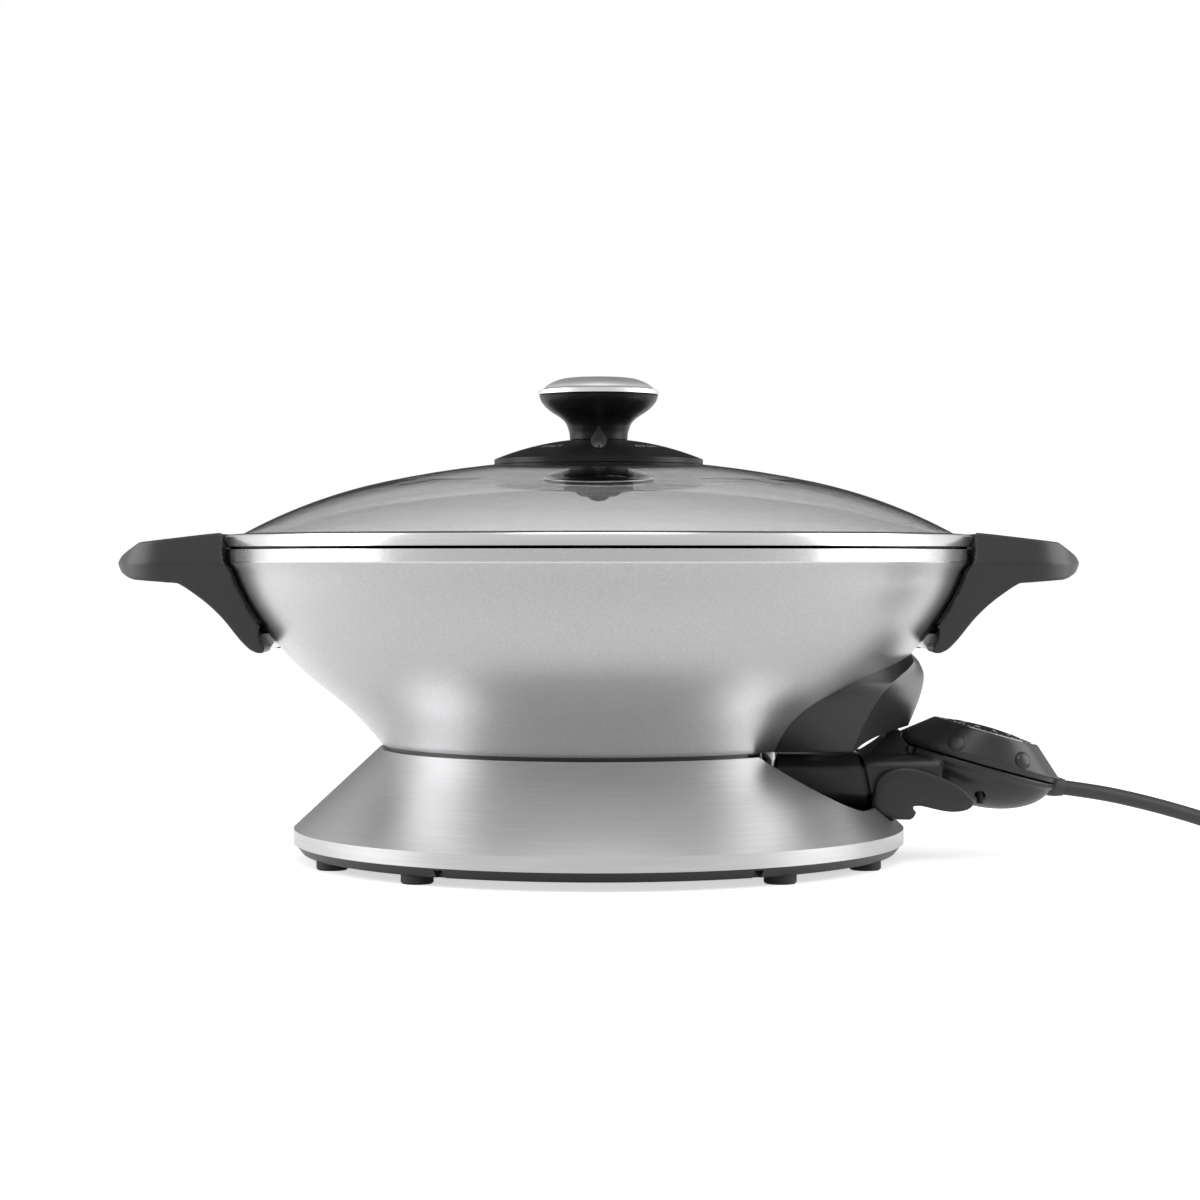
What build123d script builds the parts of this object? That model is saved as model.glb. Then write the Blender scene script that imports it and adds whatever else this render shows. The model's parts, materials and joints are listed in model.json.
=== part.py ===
from build123d import *
from math import cos, hypot, pi, radians, sin, tan
import os

os.makedirs("parts", exist_ok=True)

# Electric wok. Millimetres, +Z up, origin on the table under the middle of the base.
# +X points to the control probe, -Y to the front.

# Clearances
seat_gap = 0.1  # between pieces that sit on each other
moving_gap = 0.4  # between curved faces that move past each other
running_gap = 0.05  # radial, round a shaft or pin that turns or slides
press_gap = 0.02  # radial, round what is pressed or screwed in

# Base
skirt_radius = 159.4
skirt_top_radius = 114.9
skirt_bottom_z = 9.5
skirt_band_height = 7.4
skirt_top_z = 58.2
skirt_wall = 1.0
skirt_flange_width = 10.9
cutout_half_width = 83.0
cutout_bottom_z = 29.0
cutout_corner_radius = 28.0
cutout_start_x = 70.0
notch_half_width = 37.0  # the deeper middle of the cut-out, for the trigger
notch_bottom_z = 21.5
tray_bottom_z = 4.6
tray_slope_width = 4.5
tray_wall = 2.5
tray_lip_height = 4.0
clip_window_width = 5.0
clip_window_angle = 29.0
foot_radius = 8.0
foot_height = tray_bottom_z - 0.3
foot_circle_radius = 147.0
foot_angles = (36.6, 66.0, 114.0, 143.4)  # from the front, the same on both sides
foot_stem_radius = 3.0
foot_stem_height = 3.0
panel_x = 84.0
panel_wall = 2.0
panel_half_width = 78.0
shield_radius = 80.0
shield_z = 20.0
shield_wall = 0.8
post_circle_radius = 60.0
post_radius = 4.5
screw_radius = 1.75
screw_hole_gap = 0.9
screw_head_radius = 3.6
screw_head_height = 2.2

# Quarter-turn lock
lock_radius = 28.0
lock_thickness = 4.2
lock_sleeve_radius = 12.0
hub_height = 8.0
hub_wall = 3.0
clip_thickness = 1.0
clip_width = 3.5
stud_radius = 4.0
stud_bar_length = 16.0
stud_bar_width = 6.0
stud_bar_height = 3.6
stud_rise = 1.3
stud_bottom_z = tray_bottom_z + stud_rise
lock_pocket_radius = 10.0

# Bowl
rim_radius = 194.0
bowl_foot_radius = 113.4
base_gap = 2.0  # between the skirt and the bowl
bowl_height = 101.2
bowl_wall = 4.2
bowl_floor_thickness = 8.3
bowl_floor_radius = 70.0
collar_radius = 111.0
collar_width = 11.0
# The outside of the bowl, from foot to rim, as shares of its flare and height
bowl_shape = (
    (0.0, 0.0), (0.078, 0.075), (0.232, 0.2), (0.424, 0.324),
    (0.592, 0.449), (0.715, 0.56), (0.87, 0.739), (0.957, 0.894),
)
rim_band_height = 6.0
bowl_bottom_z = skirt_top_z + base_gap
bowl_floor_z = bowl_bottom_z + bowl_floor_thickness
rim_z = bowl_bottom_z + bowl_height

# Heating element and its terminals
element_radius = 4.0
element_circle_radius = 82.0
element_drop = 4.3  # its middle, under the bowl's foot
element_z = bowl_bottom_z - element_drop
element_gap_angle = 14.0
ridge_half_width = 6.5
terminal_drop = 18.2
terminal_z = bowl_bottom_z - terminal_drop
terminal_spread = 19.8
terminal_radius = 3.0
terminal_length = 38.0
boss_x = (54.0, 92.0)
boss_half_width = 27.0
boss_drop = 9.0  # its underside, below the terminals
boss_bottom_z = terminal_z - boss_drop
insulator_radius = 5.0
insulator_length = 4.0
sensor_radius = 3.2
guide_radius = 5.2
blade_width = 8.0
blade_thickness = 1.2
blade_drop = 7.4  # below the terminals
blade_z = terminal_z - blade_drop
blade_length = 16.0

# Socket housing
housing_half_width = 28.0
housing_drop = 14.0  # its underside, below the terminals
housing_rise = 13.6
housing_bottom_z = terminal_z - housing_drop
housing_top_z = terminal_z + housing_rise
housing_corner_radius = 8.0
housing_wall = 2.5
housing_end_x = 136.6  # at the height of the terminals
mate_slope = 0.2  # the mating face leans out by this share of its height
nose_gap = 2.0

# Element guard
guard_back_x = 80.0
guard_wall = 3.0
guard_bottom_z = 60.0
guard_arch_height = 11.5
guard_arch_half_width = 62.0
guard_bowl_gap = 0.6
guard_boss_x = 120.0
guard_boss_y = 58.0
guard_boss_radius = 5.0
guard_lug_z = 68.0
guard_boss_height = 12.0

# Handles
handle_half_width = 47.0  # at its tip
handle_root_half_width = 62.0  # where its plan starts, inside the rim
handle_root_inset = 40.0
handle_bowl_gap = 3.5
handle_plan_radius = 34.0
handle_flange_half_width = 50.0
handle_flange_reach = 5.5
handle_boss_half_width = 42.0
bracket_half_width = 26.0
spacer_half_width = 20.0
lug_drop = 33.4  # below the rim
lug_z = rim_z - lug_drop
lug_radius = 7.0
lug_depth = 18.0  # where the lug starts, inside the rim's radius
lug_length = 7.0

# Lid
lid_rim_gap = 0.3
band_height = 6.1
band_lift = 1.5
band_wall = 1.0
band_top_width = 9.0
glass_thickness = 4.4
glass_hole_radius = 8.0
glass_rise = 47.2  # its top, above the rim
glass_edge_rise = 8.1
glass_edge_inset = 8.9  # its edge, inside the rim
glass_shoulder_rise = 35.2
glass_shoulder_inset = 81.5
glass_top_z = rim_z + glass_rise
glass_edge_z = rim_z + glass_edge_rise
glass_edge_radius = rim_radius - glass_edge_inset
glass_shoulder_z = rim_z + glass_shoulder_rise
glass_shoulder_radius = rim_radius - glass_shoulder_inset

# Vent collar, over the glass
vent_radius = 54.7
vent_flat_radius = 16.0
vent_shoulder_radius = 33.0
vent_edge_rise = 0.8
vent_height = 10.1
vent_edge_z = glass_top_z + vent_edge_rise
vent_top_z = glass_top_z + vent_height

# Vent knob: heights above its own foot
neck_radius = 15.1
knob_radius = 31.4
knob_widest_height = 21.4
knob_seam_height = 23.5
knob_band_height = 2.7
knob_height = 32.8
knob_flat_radius = 14.5
# The side of the knob, from its neck out to its widest, as shares of both
knob_shape = (
    (0.0, 0.056), (0.06, 0.27), (0.17, 0.39), (0.335, 0.51),
    (0.51, 0.64), (0.71, 0.79), (0.9, 0.907), (1.0, 1.0),
)
knob_cap_wall = 1.0
pointer_half_width = 5.4
pointer_reach = 41.0
pointer_widest_reach = 25.0
pointer_height = 6.9
pointer_drop = 7.0  # from its top at the neck to its tip
pointer_side_height = 6.0
knob_bottom_z = vent_top_z + moving_gap
knob_seam_z = knob_bottom_z + knob_seam_height
knob_top_z = knob_bottom_z + knob_height
pointer_top_z = knob_bottom_z + pointer_height

# Under the glass: depths below its top
spindle_radius = 6.0
boss_radius = 18.3
under_boss_depth = 11.3
washer_depth = 8.2
washer_thickness = 0.8
washer_overhang = 0.5
shutter_radius = 10.8
shutter_depth = 14.0
under_boss_bottom_z = glass_top_z - under_boss_depth
washer_z = glass_top_z - washer_depth
shutter_z = glass_top_z - shutter_depth
screw_dome_radius = 6.0
screw_dome_height = 3.0
shutter_notches = 10

# Probe: the head leans forward with its dial
head_tilt = 15.6
dial_reach = 67.5  # middle of the dial, from the socket's end
dial_rise = 26.5  # above the terminals
dial_x = housing_end_x + dial_reach
dial_z = terminal_z + dial_rise
dial_radius = 24.2
dial_crown = 2.2
dial_thickness = 5.2
bezel_width = 1.8
bezel_height = 2.0
head_top_radius = 27.8
head_length = 44.5
head_half_width = 32.0
head_offset = -0.9
head_edge_depth = 16.0
head_seam_depth = 19.0
seam_gap = 0.7
belly_depth = 22.5
belly_inset = 2.4  # inside the head's edge
rim_inset = 1.2
rim_height = 3.4
probe_wall = 2.5
nose_length = 40.0
nose_drop = 13.0
nose_rise = 13.4
nose_bottom_z = terminal_z - nose_drop
nose_top_z = terminal_z + nose_rise
crest_half_width = 8.0
crest_base_half_width = 20.0
crest_rise = 25.4
crest_top_z = terminal_z + crest_rise
# Side outlines of the probe: outwards from the socket's end, and up from the terminals
crest_outline = (
    (2.8, 8.0), (2.4, 13.4), (8.0, 17.4), (11.9, 20.6),
    (14.0, 24.3), (16.4, crest_rise), (22.0, 24.6), (39.4, 8.0),
)
screw_places = ((162.0, 17.0), (162.0, -17.0), (197.5, 21.0), (197.5, -21.0))
head_screw_z = 36.0
probe_screw_length = 11.0
relief_radius = 5.4
block_length = 24.0
block_depth = 12.0
block_half_width = 24.5
block_margin = 1.0
contact_wall = 1.0
rod_start_x = 60.0
block_corner_radius = 4.5
trigger_reach = 12.9
trigger_drop = 4.0
trigger_x = housing_end_x + trigger_reach
trigger_z = terminal_z - trigger_drop
trigger_pin_radius = 2.0
trigger_half_width = 34.0
trigger_wall = 3.6
trigger_skin = 1.2  # over the blind end of each pin's hole
trigger_swing = 6.0
spring_wire = 1.0
thermostat_size = (28.0, 24.0, 9.0)
thermostat_drop = 24.0
thermostat_bush_radius = 5.0
shaft_radius = 3.0
relief_length = 20.0
relief_taper_length = 5.0  # outside the shell, down to the lead
relief_lip = 0.4
lamp_radius = 2.5
lamp_length = 12.0
lamp_place = (11.0, 9.0)

# Mains lead
cord_radius = 3.9
cord_exit = (244.8, 0.0, 36.4)
cord_route = (
    cord_exit, (262.0, -1.5, 34.2), (281.0, -6.0, 30.4), (300.0, -13.4, 25.7),
    (319.0, -20.4, 20.0), (337.0, -24.3, 13.4), (353.0, -25.3, 7.4), (369.0, -25.0, 4.0),
)
coil_centre = (385.0, 23.0)
coil_radius = 40.0
coil_half_width = 12.0
coil_height = 16.0
plug_length = 38.0
plug_width = 26.0
plug_height = 24.0
plug_relief_length = 30.0
plug_blade = (1.5, 17.5, 6.3)
plug_blade_spread = 12.7
plug_earth_radius = 2.4
plug_earth_length = 21.0


def save(builder, name):
    """Label a finished piece and write its file."""
    builder.part.label = name
    export_step(builder.part, "parts/" + name + ".step")


def skirt_radius_at(z):
    """Outer radius of the cone of the skirt at a height."""
    cone_bottom_z = skirt_bottom_z + skirt_band_height
    share = (z - cone_bottom_z) / (skirt_top_z - cone_bottom_z)
    return skirt_radius + share * (skirt_top_radius - skirt_radius)


def bowl_points(offset):
    """Points of the bowl's outside, moved out along its normals by an offset."""
    flare = rim_radius - bowl_foot_radius
    height = rim_z - bowl_bottom_z
    points = [(bowl_foot_radius + u * flare, bowl_bottom_z + v * height) for u, v in bowl_shape]
    moved = []
    for i, (r, z) in enumerate(points):
        before = points[max(i - 1, 0)]
        after = points[min(i + 1, len(points) - 1)]
        dr = after[0] - before[0]
        dz = after[1] - before[1]
        span = hypot(dr, dz)
        moved.append((r + offset * dz / span, z - offset * dr / span))
    return moved


def bowl_envelope(offset):
    """A solid of revolution that reaches past the outside of the bowl by an offset."""
    outside = bowl_points(offset)
    with BuildPart() as envelope:
        with BuildSketch(Plane.XZ):
            with BuildLine():
                Polyline((0, rim_z + 40), (0, outside[0][1]), outside[0])
                Spline(*outside)
                Polyline(
                    outside[-1],
                    (rim_radius + offset, rim_z - rim_band_height),
                    (rim_radius + offset, rim_z + 40),
                    (0, rim_z + 40),
                )
            make_face()
        revolve(axis=Axis.Z)
    return envelope.part


def mate_x(z, gap):
    """Where the leaning mating face of socket and probe lies at a height."""
    return housing_end_x + gap - (z - terminal_z) * mate_slope


# ---------------------------------------------------------------- base

cone_slant = hypot(skirt_radius - skirt_top_radius, skirt_top_z - skirt_bottom_z - skirt_band_height)
cone_wall = skirt_wall * cone_slant / (skirt_top_z - skirt_bottom_z - skirt_band_height)
flange_z = skirt_top_z - skirt_wall
flange_radius = skirt_top_radius - skirt_flange_width
band_top_z = skirt_bottom_z + skirt_band_height

with BuildPart() as base_skirt:
    with BuildSketch(Plane.XZ) as skirt_profile:
        with BuildLine():
            Polyline(
                (skirt_radius - skirt_wall, skirt_bottom_z),
                (skirt_radius, skirt_bottom_z),
                (skirt_radius, band_top_z),
                (skirt_top_radius, skirt_top_z),
                (flange_radius, skirt_top_z),
                (flange_radius, flange_z),
                (skirt_radius_at(flange_z) - cone_wall, flange_z),
                (skirt_radius_at(band_top_z) - cone_wall + 0.45, band_top_z - 0.4),
                (skirt_radius - skirt_wall, band_top_z - 0.4),
                close=True,
            )
        make_face()
    revolve(axis=Axis.Z)
    with BuildSketch(Plane.YZ.offset(cutout_start_x)):
        with Locations((0, (cutout_bottom_z + skirt_top_z + 60) / 2)):
            RectangleRounded(
                2 * cutout_half_width, skirt_top_z + 60 - cutout_bottom_z, cutout_corner_radius
            )
    extrude(amount=skirt_radius, mode=Mode.SUBTRACT)
    with BuildSketch(Plane.YZ.offset(cutout_start_x)):
        with Locations((0, cutout_bottom_z)):
            RectangleRounded(2 * notch_half_width, 2 * (cutout_bottom_z - notch_bottom_z), 5)
    extrude(amount=skirt_radius, mode=Mode.SUBTRACT)
save(base_skirt, "base_skirt")

tray_radius = skirt_radius - skirt_wall - seat_gap * 2
tray_flat_radius = skirt_radius - tray_slope_width
tray_lip_z = skirt_bottom_z - seat_gap
hub_bore = lock_sleeve_radius + running_gap
hub_floor_z = tray_bottom_z + lock_thickness - 0.9
hub_top_z = hub_floor_z + hub_height
lock_cup_radius = lock_radius + moving_gap * 1.5
foot_places = [(side * angle) for side in (-1, 1) for angle in foot_angles]

with BuildPart() as base_tray:
    with BuildSketch(Plane.XZ):
        with BuildLine():
            Polyline(
                (tray_radius, tray_lip_z + tray_lip_height),
                (tray_radius, tray_lip_z),
                (skirt_radius - 0.5, tray_lip_z),
                (tray_flat_radius, tray_bottom_z),
                (lock_cup_radius, tray_bottom_z),
                (lock_cup_radius, hub_floor_z),
                (hub_bore, hub_floor_z),
                (hub_bore, hub_top_z),
                (hub_bore + hub_wall, hub_top_z),
                (hub_bore + hub_wall, hub_floor_z + tray_wall),
                (lock_cup_radius + tray_wall, hub_floor_z + tray_wall),
                (lock_cup_radius + tray_wall, tray_bottom_z + tray_wall),
                (tray_flat_radius - 1, tray_bottom_z + tray_wall),
                (tray_radius - tray_wall, tray_lip_z + tray_wall - 0.5),
                (tray_radius - tray_wall, tray_lip_z + tray_lip_height),
                close=True,
            )
        make_face()
    revolve(axis=Axis.Z)
    with BuildSketch(Plane.XY.offset(foot_height)):
        for angle in foot_places:
            with PolarLocations(foot_circle_radius, 1, start_angle=angle - 90):
                Circle(foot_radius - 0.5)
    extrude(amount=tray_lip_z - foot_height - 0.8)
    with BuildSketch(Plane.XY.offset(tray_bottom_z + tray_wall)):
        with PolarLocations(post_circle_radius, 4, start_angle=45):
            Circle(post_radius)
    extrude(amount=shield_z - seat_gap - tray_bottom_z - tray_wall)
    with BuildSketch(Plane.XY.offset(foot_height)):
        for angle in foot_places:
            with PolarLocations(foot_circle_radius, 1, start_angle=angle - 90):
                Circle(foot_stem_radius)
    extrude(amount=foot_stem_height, mode=Mode.SUBTRACT)
    with BuildSketch(Plane.XY.offset(shield_z - seat_gap)):
        with PolarLocations(post_circle_radius, 4, start_angle=45):
            Circle(screw_radius)
    extrude(amount=-8, mode=Mode.SUBTRACT)
    for angle in (clip_window_angle, -clip_window_angle, 180 - clip_window_angle, clip_window_angle - 180):
        with BuildSketch(Plane.XY.offset(tray_bottom_z - 1)):
            with PolarLocations(skirt_radius - 1, 1, start_angle=angle - 90):
                Rectangle(10, clip_window_width)
        extrude(amount=tray_lip_z - tray_bottom_z, mode=Mode.SUBTRACT)
save(base_tray, "base_tray")

with BuildPart() as rubber_feet:
    for angle in foot_places:
        with BuildSketch(Plane.XY):
            with PolarLocations(foot_circle_radius, 1, start_angle=angle - 90):
                Circle(foot_radius)
    extrude(amount=foot_height)
    chamfer(rubber_feet.edges().group_by(Axis.Z)[0], 0.8)
    with BuildSketch(Plane.XY.offset(foot_height)):
        for angle in foot_places:
            with PolarLocations(foot_circle_radius, 1, start_angle=angle - 90):
                Circle(foot_stem_radius)
    extrude(amount=foot_stem_height)
save(rubber_feet, "rubber_feet")

with BuildPart() as cutout_back_panel:
    with BuildSketch(Plane.YZ.offset(panel_x)):
        with BuildLine():
            Polyline(
                (-panel_half_width, tray_bottom_z + tray_wall),
                (panel_half_width, tray_bottom_z + tray_wall),
                (panel_half_width, skirt_top_z - 1.5),
                (-panel_half_width, skirt_top_z - 1.5),
                close=True,
            )
        make_face()
        with Locations((0, boss_bottom_z + 30)):
            Rectangle(2 * boss_half_width + 4, 64, mode=Mode.SUBTRACT)
    extrude(amount=panel_wall)
save(cutout_back_panel, "cutout_back_panel")

with BuildPart() as heat_shield:
    with BuildSketch(Plane.XY.offset(shield_z)):
        Circle(shield_radius)
        Circle(hub_bore + hub_wall + 4, mode=Mode.SUBTRACT)
        with PolarLocations(post_circle_radius, 4, start_angle=45):
            Circle(screw_radius + seat_gap, mode=Mode.SUBTRACT)
    extrude(amount=shield_wall)
save(heat_shield, "heat_shield")

with BuildPart() as shield_screws:
    with BuildSketch(Plane.XY.offset(shield_z + shield_wall)):
        with PolarLocations(post_circle_radius, 4, start_angle=45):
            Circle(screw_head_radius)
    extrude(amount=screw_head_height)
    with BuildSketch(Plane.XY.offset(shield_z + shield_wall)):
        with PolarLocations(post_circle_radius, 4, start_angle=45):
            Circle(screw_radius)
    extrude(amount=-8)
save(shield_screws, "shield_screws")

with BuildPart() as insulating_collar:
    with BuildSketch(Plane.XZ):
        with BuildLine():
            Polyline(
                (collar_radius, bowl_bottom_z),
                (collar_radius, skirt_top_z),
                (flange_radius - seat_gap, skirt_top_z),
                (flange_radius - seat_gap, skirt_top_z - 6),
                (collar_radius - collar_width, skirt_top_z - 6),
                (collar_radius - collar_width, bowl_bottom_z),
                close=True,
            )
        make_face()
    revolve(axis=Axis.Z)
    with BuildSketch(Plane.YZ.offset(cutout_start_x)):
        with Locations((0, skirt_top_z)):
            Rectangle(2 * cutout_half_width, 20)
    extrude(amount=skirt_radius, mode=Mode.SUBTRACT)
save(insulating_collar, "insulating_collar")

# ---------------------------------------------------------------- quarter-turn lock

lock_top_z = hub_top_z + clip_thickness + 0.4
lock_disc_top_z = hub_floor_z - 0.2
lock_disc_bottom_z = lock_disc_top_z - lock_thickness
stud_bar_top_z = stud_bottom_z + stud_bar_height

with BuildPart() as lock_dial:
    with BuildSketch(Plane.XY.offset(lock_disc_bottom_z)):
        Circle(lock_radius)
    extrude(amount=lock_thickness)
    fillet(lock_dial.edges().group_by(Axis.Z)[0], 1)
    with BuildSketch(Plane.XY.offset(lock_disc_top_z)):
        Circle(lock_sleeve_radius)
    extrude(amount=lock_top_z - lock_disc_top_z)
    with BuildSketch(Plane.XY.offset(lock_disc_bottom_z)):
        Circle(lock_pocket_radius)
    extrude(amount=stud_bar_top_z + 0.6 - lock_disc_bottom_z, mode=Mode.SUBTRACT)
    with BuildSketch(Plane.XY.offset(lock_disc_bottom_z)):
        Circle(stud_radius + moving_gap)
        Rectangle(stud_bar_width + 1.2, stud_bar_length + 1.2)
    extrude(amount=30, mode=Mode.SUBTRACT)
    with BuildSketch(Plane.XY.offset(lock_disc_bottom_z)):
        with Locations((0, 19), (0, -19)):
            SlotOverall(20, 7)
    extrude(amount=2.4, mode=Mode.SUBTRACT)
save(lock_dial, "lock_dial")

with BuildPart() as lock_clip:
    with BuildSketch(Plane.XY.offset(hub_top_z + 0.2)):
        Circle(lock_sleeve_radius + clip_width)
        Circle(lock_sleeve_radius + press_gap, mode=Mode.SUBTRACT)
        with Locations((lock_sleeve_radius + 2, 0)):
            Rectangle(8, 7, mode=Mode.SUBTRACT)
    extrude(amount=clip_thickness)
save(lock_clip, "lock_clip")

with BuildPart() as locking_stud:
    with BuildSketch(Plane.XY.offset(stud_bottom_z)):
        Rectangle(stud_bar_length, stud_bar_width)
    extrude(amount=stud_bar_height)
    with BuildSketch(Plane.XY.offset(stud_bar_top_z)):
        Circle(stud_radius)
    extrude(amount=bowl_bottom_z - stud_bar_top_z)
save(locking_stud, "locking_stud")

# ---------------------------------------------------------------- bowl

outside = bowl_points(0)
inside = [p for p in bowl_points(-bowl_wall) if p[1] > bowl_floor_z + 29]
ridge_bottom_z = element_z - element_radius + 1

with BuildPart() as wok_bowl:
    with BuildSketch(Plane.XZ):
        with BuildLine():
            Polyline((0, bowl_floor_z), (0, bowl_bottom_z), outside[0])
            Spline(*outside)
            Polyline(
                outside[-1],
                (rim_radius - 0.6, rim_z - rim_band_height - 0.8),
                (rim_radius, rim_z - rim_band_height),
                (rim_radius, rim_z),
                (rim_radius - bowl_wall, rim_z),
            )
            Spline((rim_radius - bowl_wall, rim_z), *reversed(inside))
            TangentArc((bowl_floor_radius, bowl_floor_z), inside[0], tangent=(1, 0))
            Line((0, bowl_floor_z), (bowl_floor_radius, bowl_floor_z))
        make_face()
    revolve(axis=Axis.Z)
    with BuildSketch(Plane.XY.offset(ridge_bottom_z)):
        Circle(element_circle_radius + ridge_half_width)
        Circle(element_circle_radius - ridge_half_width, mode=Mode.SUBTRACT)
    extrude(amount=bowl_bottom_z - ridge_bottom_z)
    with BuildSketch(Plane.XY.offset(boss_bottom_z)):
        with Locations(((boss_x[0] + boss_x[1]) / 2, 0)):
            RectangleRounded(boss_x[1] - boss_x[0], 2 * boss_half_width, 4)
    extrude(amount=bowl_bottom_z - boss_bottom_z)
    for side in (-1, 1):
        with BuildSketch(Plane.YZ.offset(side * (rim_radius - lug_depth))):
            with Locations((0, lug_z)):
                Circle(lug_radius)
        extrude(amount=side * lug_length)
    for side in (-1, 1):
        with BuildSketch(Plane.XY.offset(guard_lug_z + guard_wall + seat_gap)):
            with Locations((guard_boss_x, side * guard_boss_y)):
                Circle(guard_boss_radius)
        extrude(amount=guard_boss_height)
    # channel for the heating element and bores for what goes into the boss
    with BuildSketch(Plane.XZ):
        with Locations((element_circle_radius, element_z)):
            Circle(element_radius + seat_gap)
        with Locations((element_circle_radius, element_z - 6)):
            Rectangle(2 * (element_radius + seat_gap), 12)
    revolve(axis=Axis.Z, mode=Mode.SUBTRACT)
    with BuildSketch(Plane.XY.offset(terminal_z - 8)):
        for side in (-1, 1):
            with PolarLocations(element_circle_radius, 1, start_angle=side * element_gap_angle):
                Circle(element_radius + seat_gap)
    extrude(amount=element_z - terminal_z + 8, mode=Mode.SUBTRACT)
    with BuildSketch(Plane.YZ.offset(boss_x[1])):
        with Locations((-terminal_spread, terminal_z), (terminal_spread, terminal_z)):
            Circle(terminal_radius + seat_gap)
    extrude(amount=-12, mode=Mode.SUBTRACT)
    with BuildSketch(Plane.YZ.offset(boss_x[0])):
        with Locations((0, terminal_z)):
            Circle(guide_radius + press_gap)
    extrude(amount=boss_x[1] - boss_x[0], mode=Mode.SUBTRACT)
    with BuildSketch(Plane.XY.offset(bowl_bottom_z)):
        Circle(stud_radius + 8)
        Circle(stud_radius + press_gap, mode=Mode.SUBTRACT)
    extrude(amount=-10)
    for side in (-1, 1):
        with BuildSketch(Plane.XY.offset(guard_lug_z)):
            with Locations((guard_boss_x, side * guard_boss_y)):
                Circle(screw_radius + press_gap)
        extrude(amount=11, mode=Mode.SUBTRACT)
        with BuildSketch(Plane.YZ.offset(side * (rim_radius - lug_depth + lug_length))):
            with Locations((0, lug_z)):
                Circle(screw_radius + press_gap)
        extrude(amount=-side * (lug_length - 1), mode=Mode.SUBTRACT)
save(wok_bowl, "wok_bowl")

with BuildPart() as heating_element:
    with BuildSketch(Plane.XZ.rotated((0, 0, element_gap_angle))):
        with Locations((element_circle_radius, element_z)):
            Circle(element_radius)
    revolve(axis=Axis.Z, revolution_arc=360 - 2 * element_gap_angle)
    with BuildSketch(Plane.XY.offset(terminal_z - element_radius)):
        for side in (-1, 1):
            with PolarLocations(element_circle_radius, 1, start_angle=side * element_gap_angle):
                Circle(element_radius)
    extrude(amount=element_z - terminal_z + element_radius)
save(heating_element, "heating_element")

pin_start_x = element_circle_radius + 2

with BuildPart() as terminal_pins:
    with BuildSketch(Plane.YZ.offset(pin_start_x)):
        with Locations((-terminal_spread, terminal_z), (terminal_spread, terminal_z)):
            Circle(terminal_radius)
    extrude(amount=terminal_length)
    chamfer(terminal_pins.faces().group_by(Axis.X)[-1].edges(), 0.8)
save(terminal_pins, "terminal_pins")

with BuildPart() as pin_insulators:
    with BuildSketch(Plane.YZ.offset(boss_x[1])):
        with Locations((-terminal_spread, terminal_z), (terminal_spread, terminal_z)):
            Circle(insulator_radius)
            Circle(terminal_radius + press_gap, mode=Mode.SUBTRACT)
    extrude(amount=insulator_length)
save(pin_insulators, "pin_insulators")

with BuildPart() as probe_guide:
    with BuildSketch(Plane.YZ.offset(boss_x[0])):
        with Locations((0, terminal_z)):
            Circle(guide_radius)
            Circle(sensor_radius + running_gap, mode=Mode.SUBTRACT)
    extrude(amount=boss_x[1] - boss_x[0])
save(probe_guide, "probe_guide")

with BuildPart() as earth_blade:
    with BuildSketch(Plane.YZ.offset(boss_x[1])):
        with Locations((0, blade_z)):
            Rectangle(blade_width, blade_thickness)
    extrude(amount=blade_length)
save(earth_blade, "earth_blade")

# ---------------------------------------------------------------- socket housing

housing_start_x = boss_x[1] + seat_gap
housing_height = housing_top_z - housing_bottom_z
housing_mid_z = (housing_top_z + housing_bottom_z) / 2

with BuildPart() as socket_housing:
    with BuildSketch(Plane.YZ.offset(housing_start_x)):
        with Locations((0, housing_mid_z)):
            RectangleRounded(2 * housing_half_width, housing_height, housing_corner_radius)
    extrude(amount=housing_end_x + 8 - housing_start_x)
    with BuildSketch(Plane.YZ.offset(housing_start_x + housing_wall)):
        with Locations((0, housing_mid_z)):
            RectangleRounded(
                2 * (housing_half_width - housing_wall),
                housing_height - 2 * housing_wall,
                housing_corner_radius - housing_wall,
            )
    extrude(amount=80, mode=Mode.SUBTRACT)
    with BuildSketch(Plane.YZ.offset(housing_start_x - 1)):
        with Locations((-terminal_spread, terminal_z), (terminal_spread, terminal_z)):
            Circle(insulator_radius + seat_gap)
        with Locations((0, terminal_z)):
            Circle(sensor_radius + moving_gap)
        with Locations((0, blade_z)):
            Rectangle(blade_width + 0.4, blade_thickness + 0.4)
        with Locations((-11, terminal_z + 8), (11, terminal_z + 8)):
            Circle(screw_radius + seat_gap)
    extrude(amount=housing_wall + 2, mode=Mode.SUBTRACT)
    with BuildSketch(Plane.XZ.offset(-40)):
        with BuildLine():
            Polyline(
                (mate_x(housing_bottom_z - 5, 0), housing_bottom_z - 5),
                (mate_x(housing_top_z + 5, 0), housing_top_z + 5),
                (housing_end_x + 20, housing_top_z + 5),
                (housing_end_x + 20, housing_bottom_z - 5),
                close=True,
            )
        make_face()
    extrude(amount=80, mode=Mode.SUBTRACT)
save(socket_housing, "socket_housing")

with BuildPart() as socket_screws:
    with BuildSketch(Plane.YZ.offset(housing_start_x + housing_wall)):
        with Locations((-11, terminal_z + 8), (11, terminal_z + 8)):
            Circle(screw_head_radius - 0.6)
    extrude(amount=screw_head_height)
    with BuildSketch(Plane.YZ.offset(housing_start_x + housing_wall)):
        with Locations((-11, terminal_z + 8), (11, terminal_z + 8)):
            Circle(screw_radius)
    extrude(amount=-housing_wall - seat_gap)
save(socket_screws, "socket_screws")

# ---------------------------------------------------------------- element guard

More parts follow.
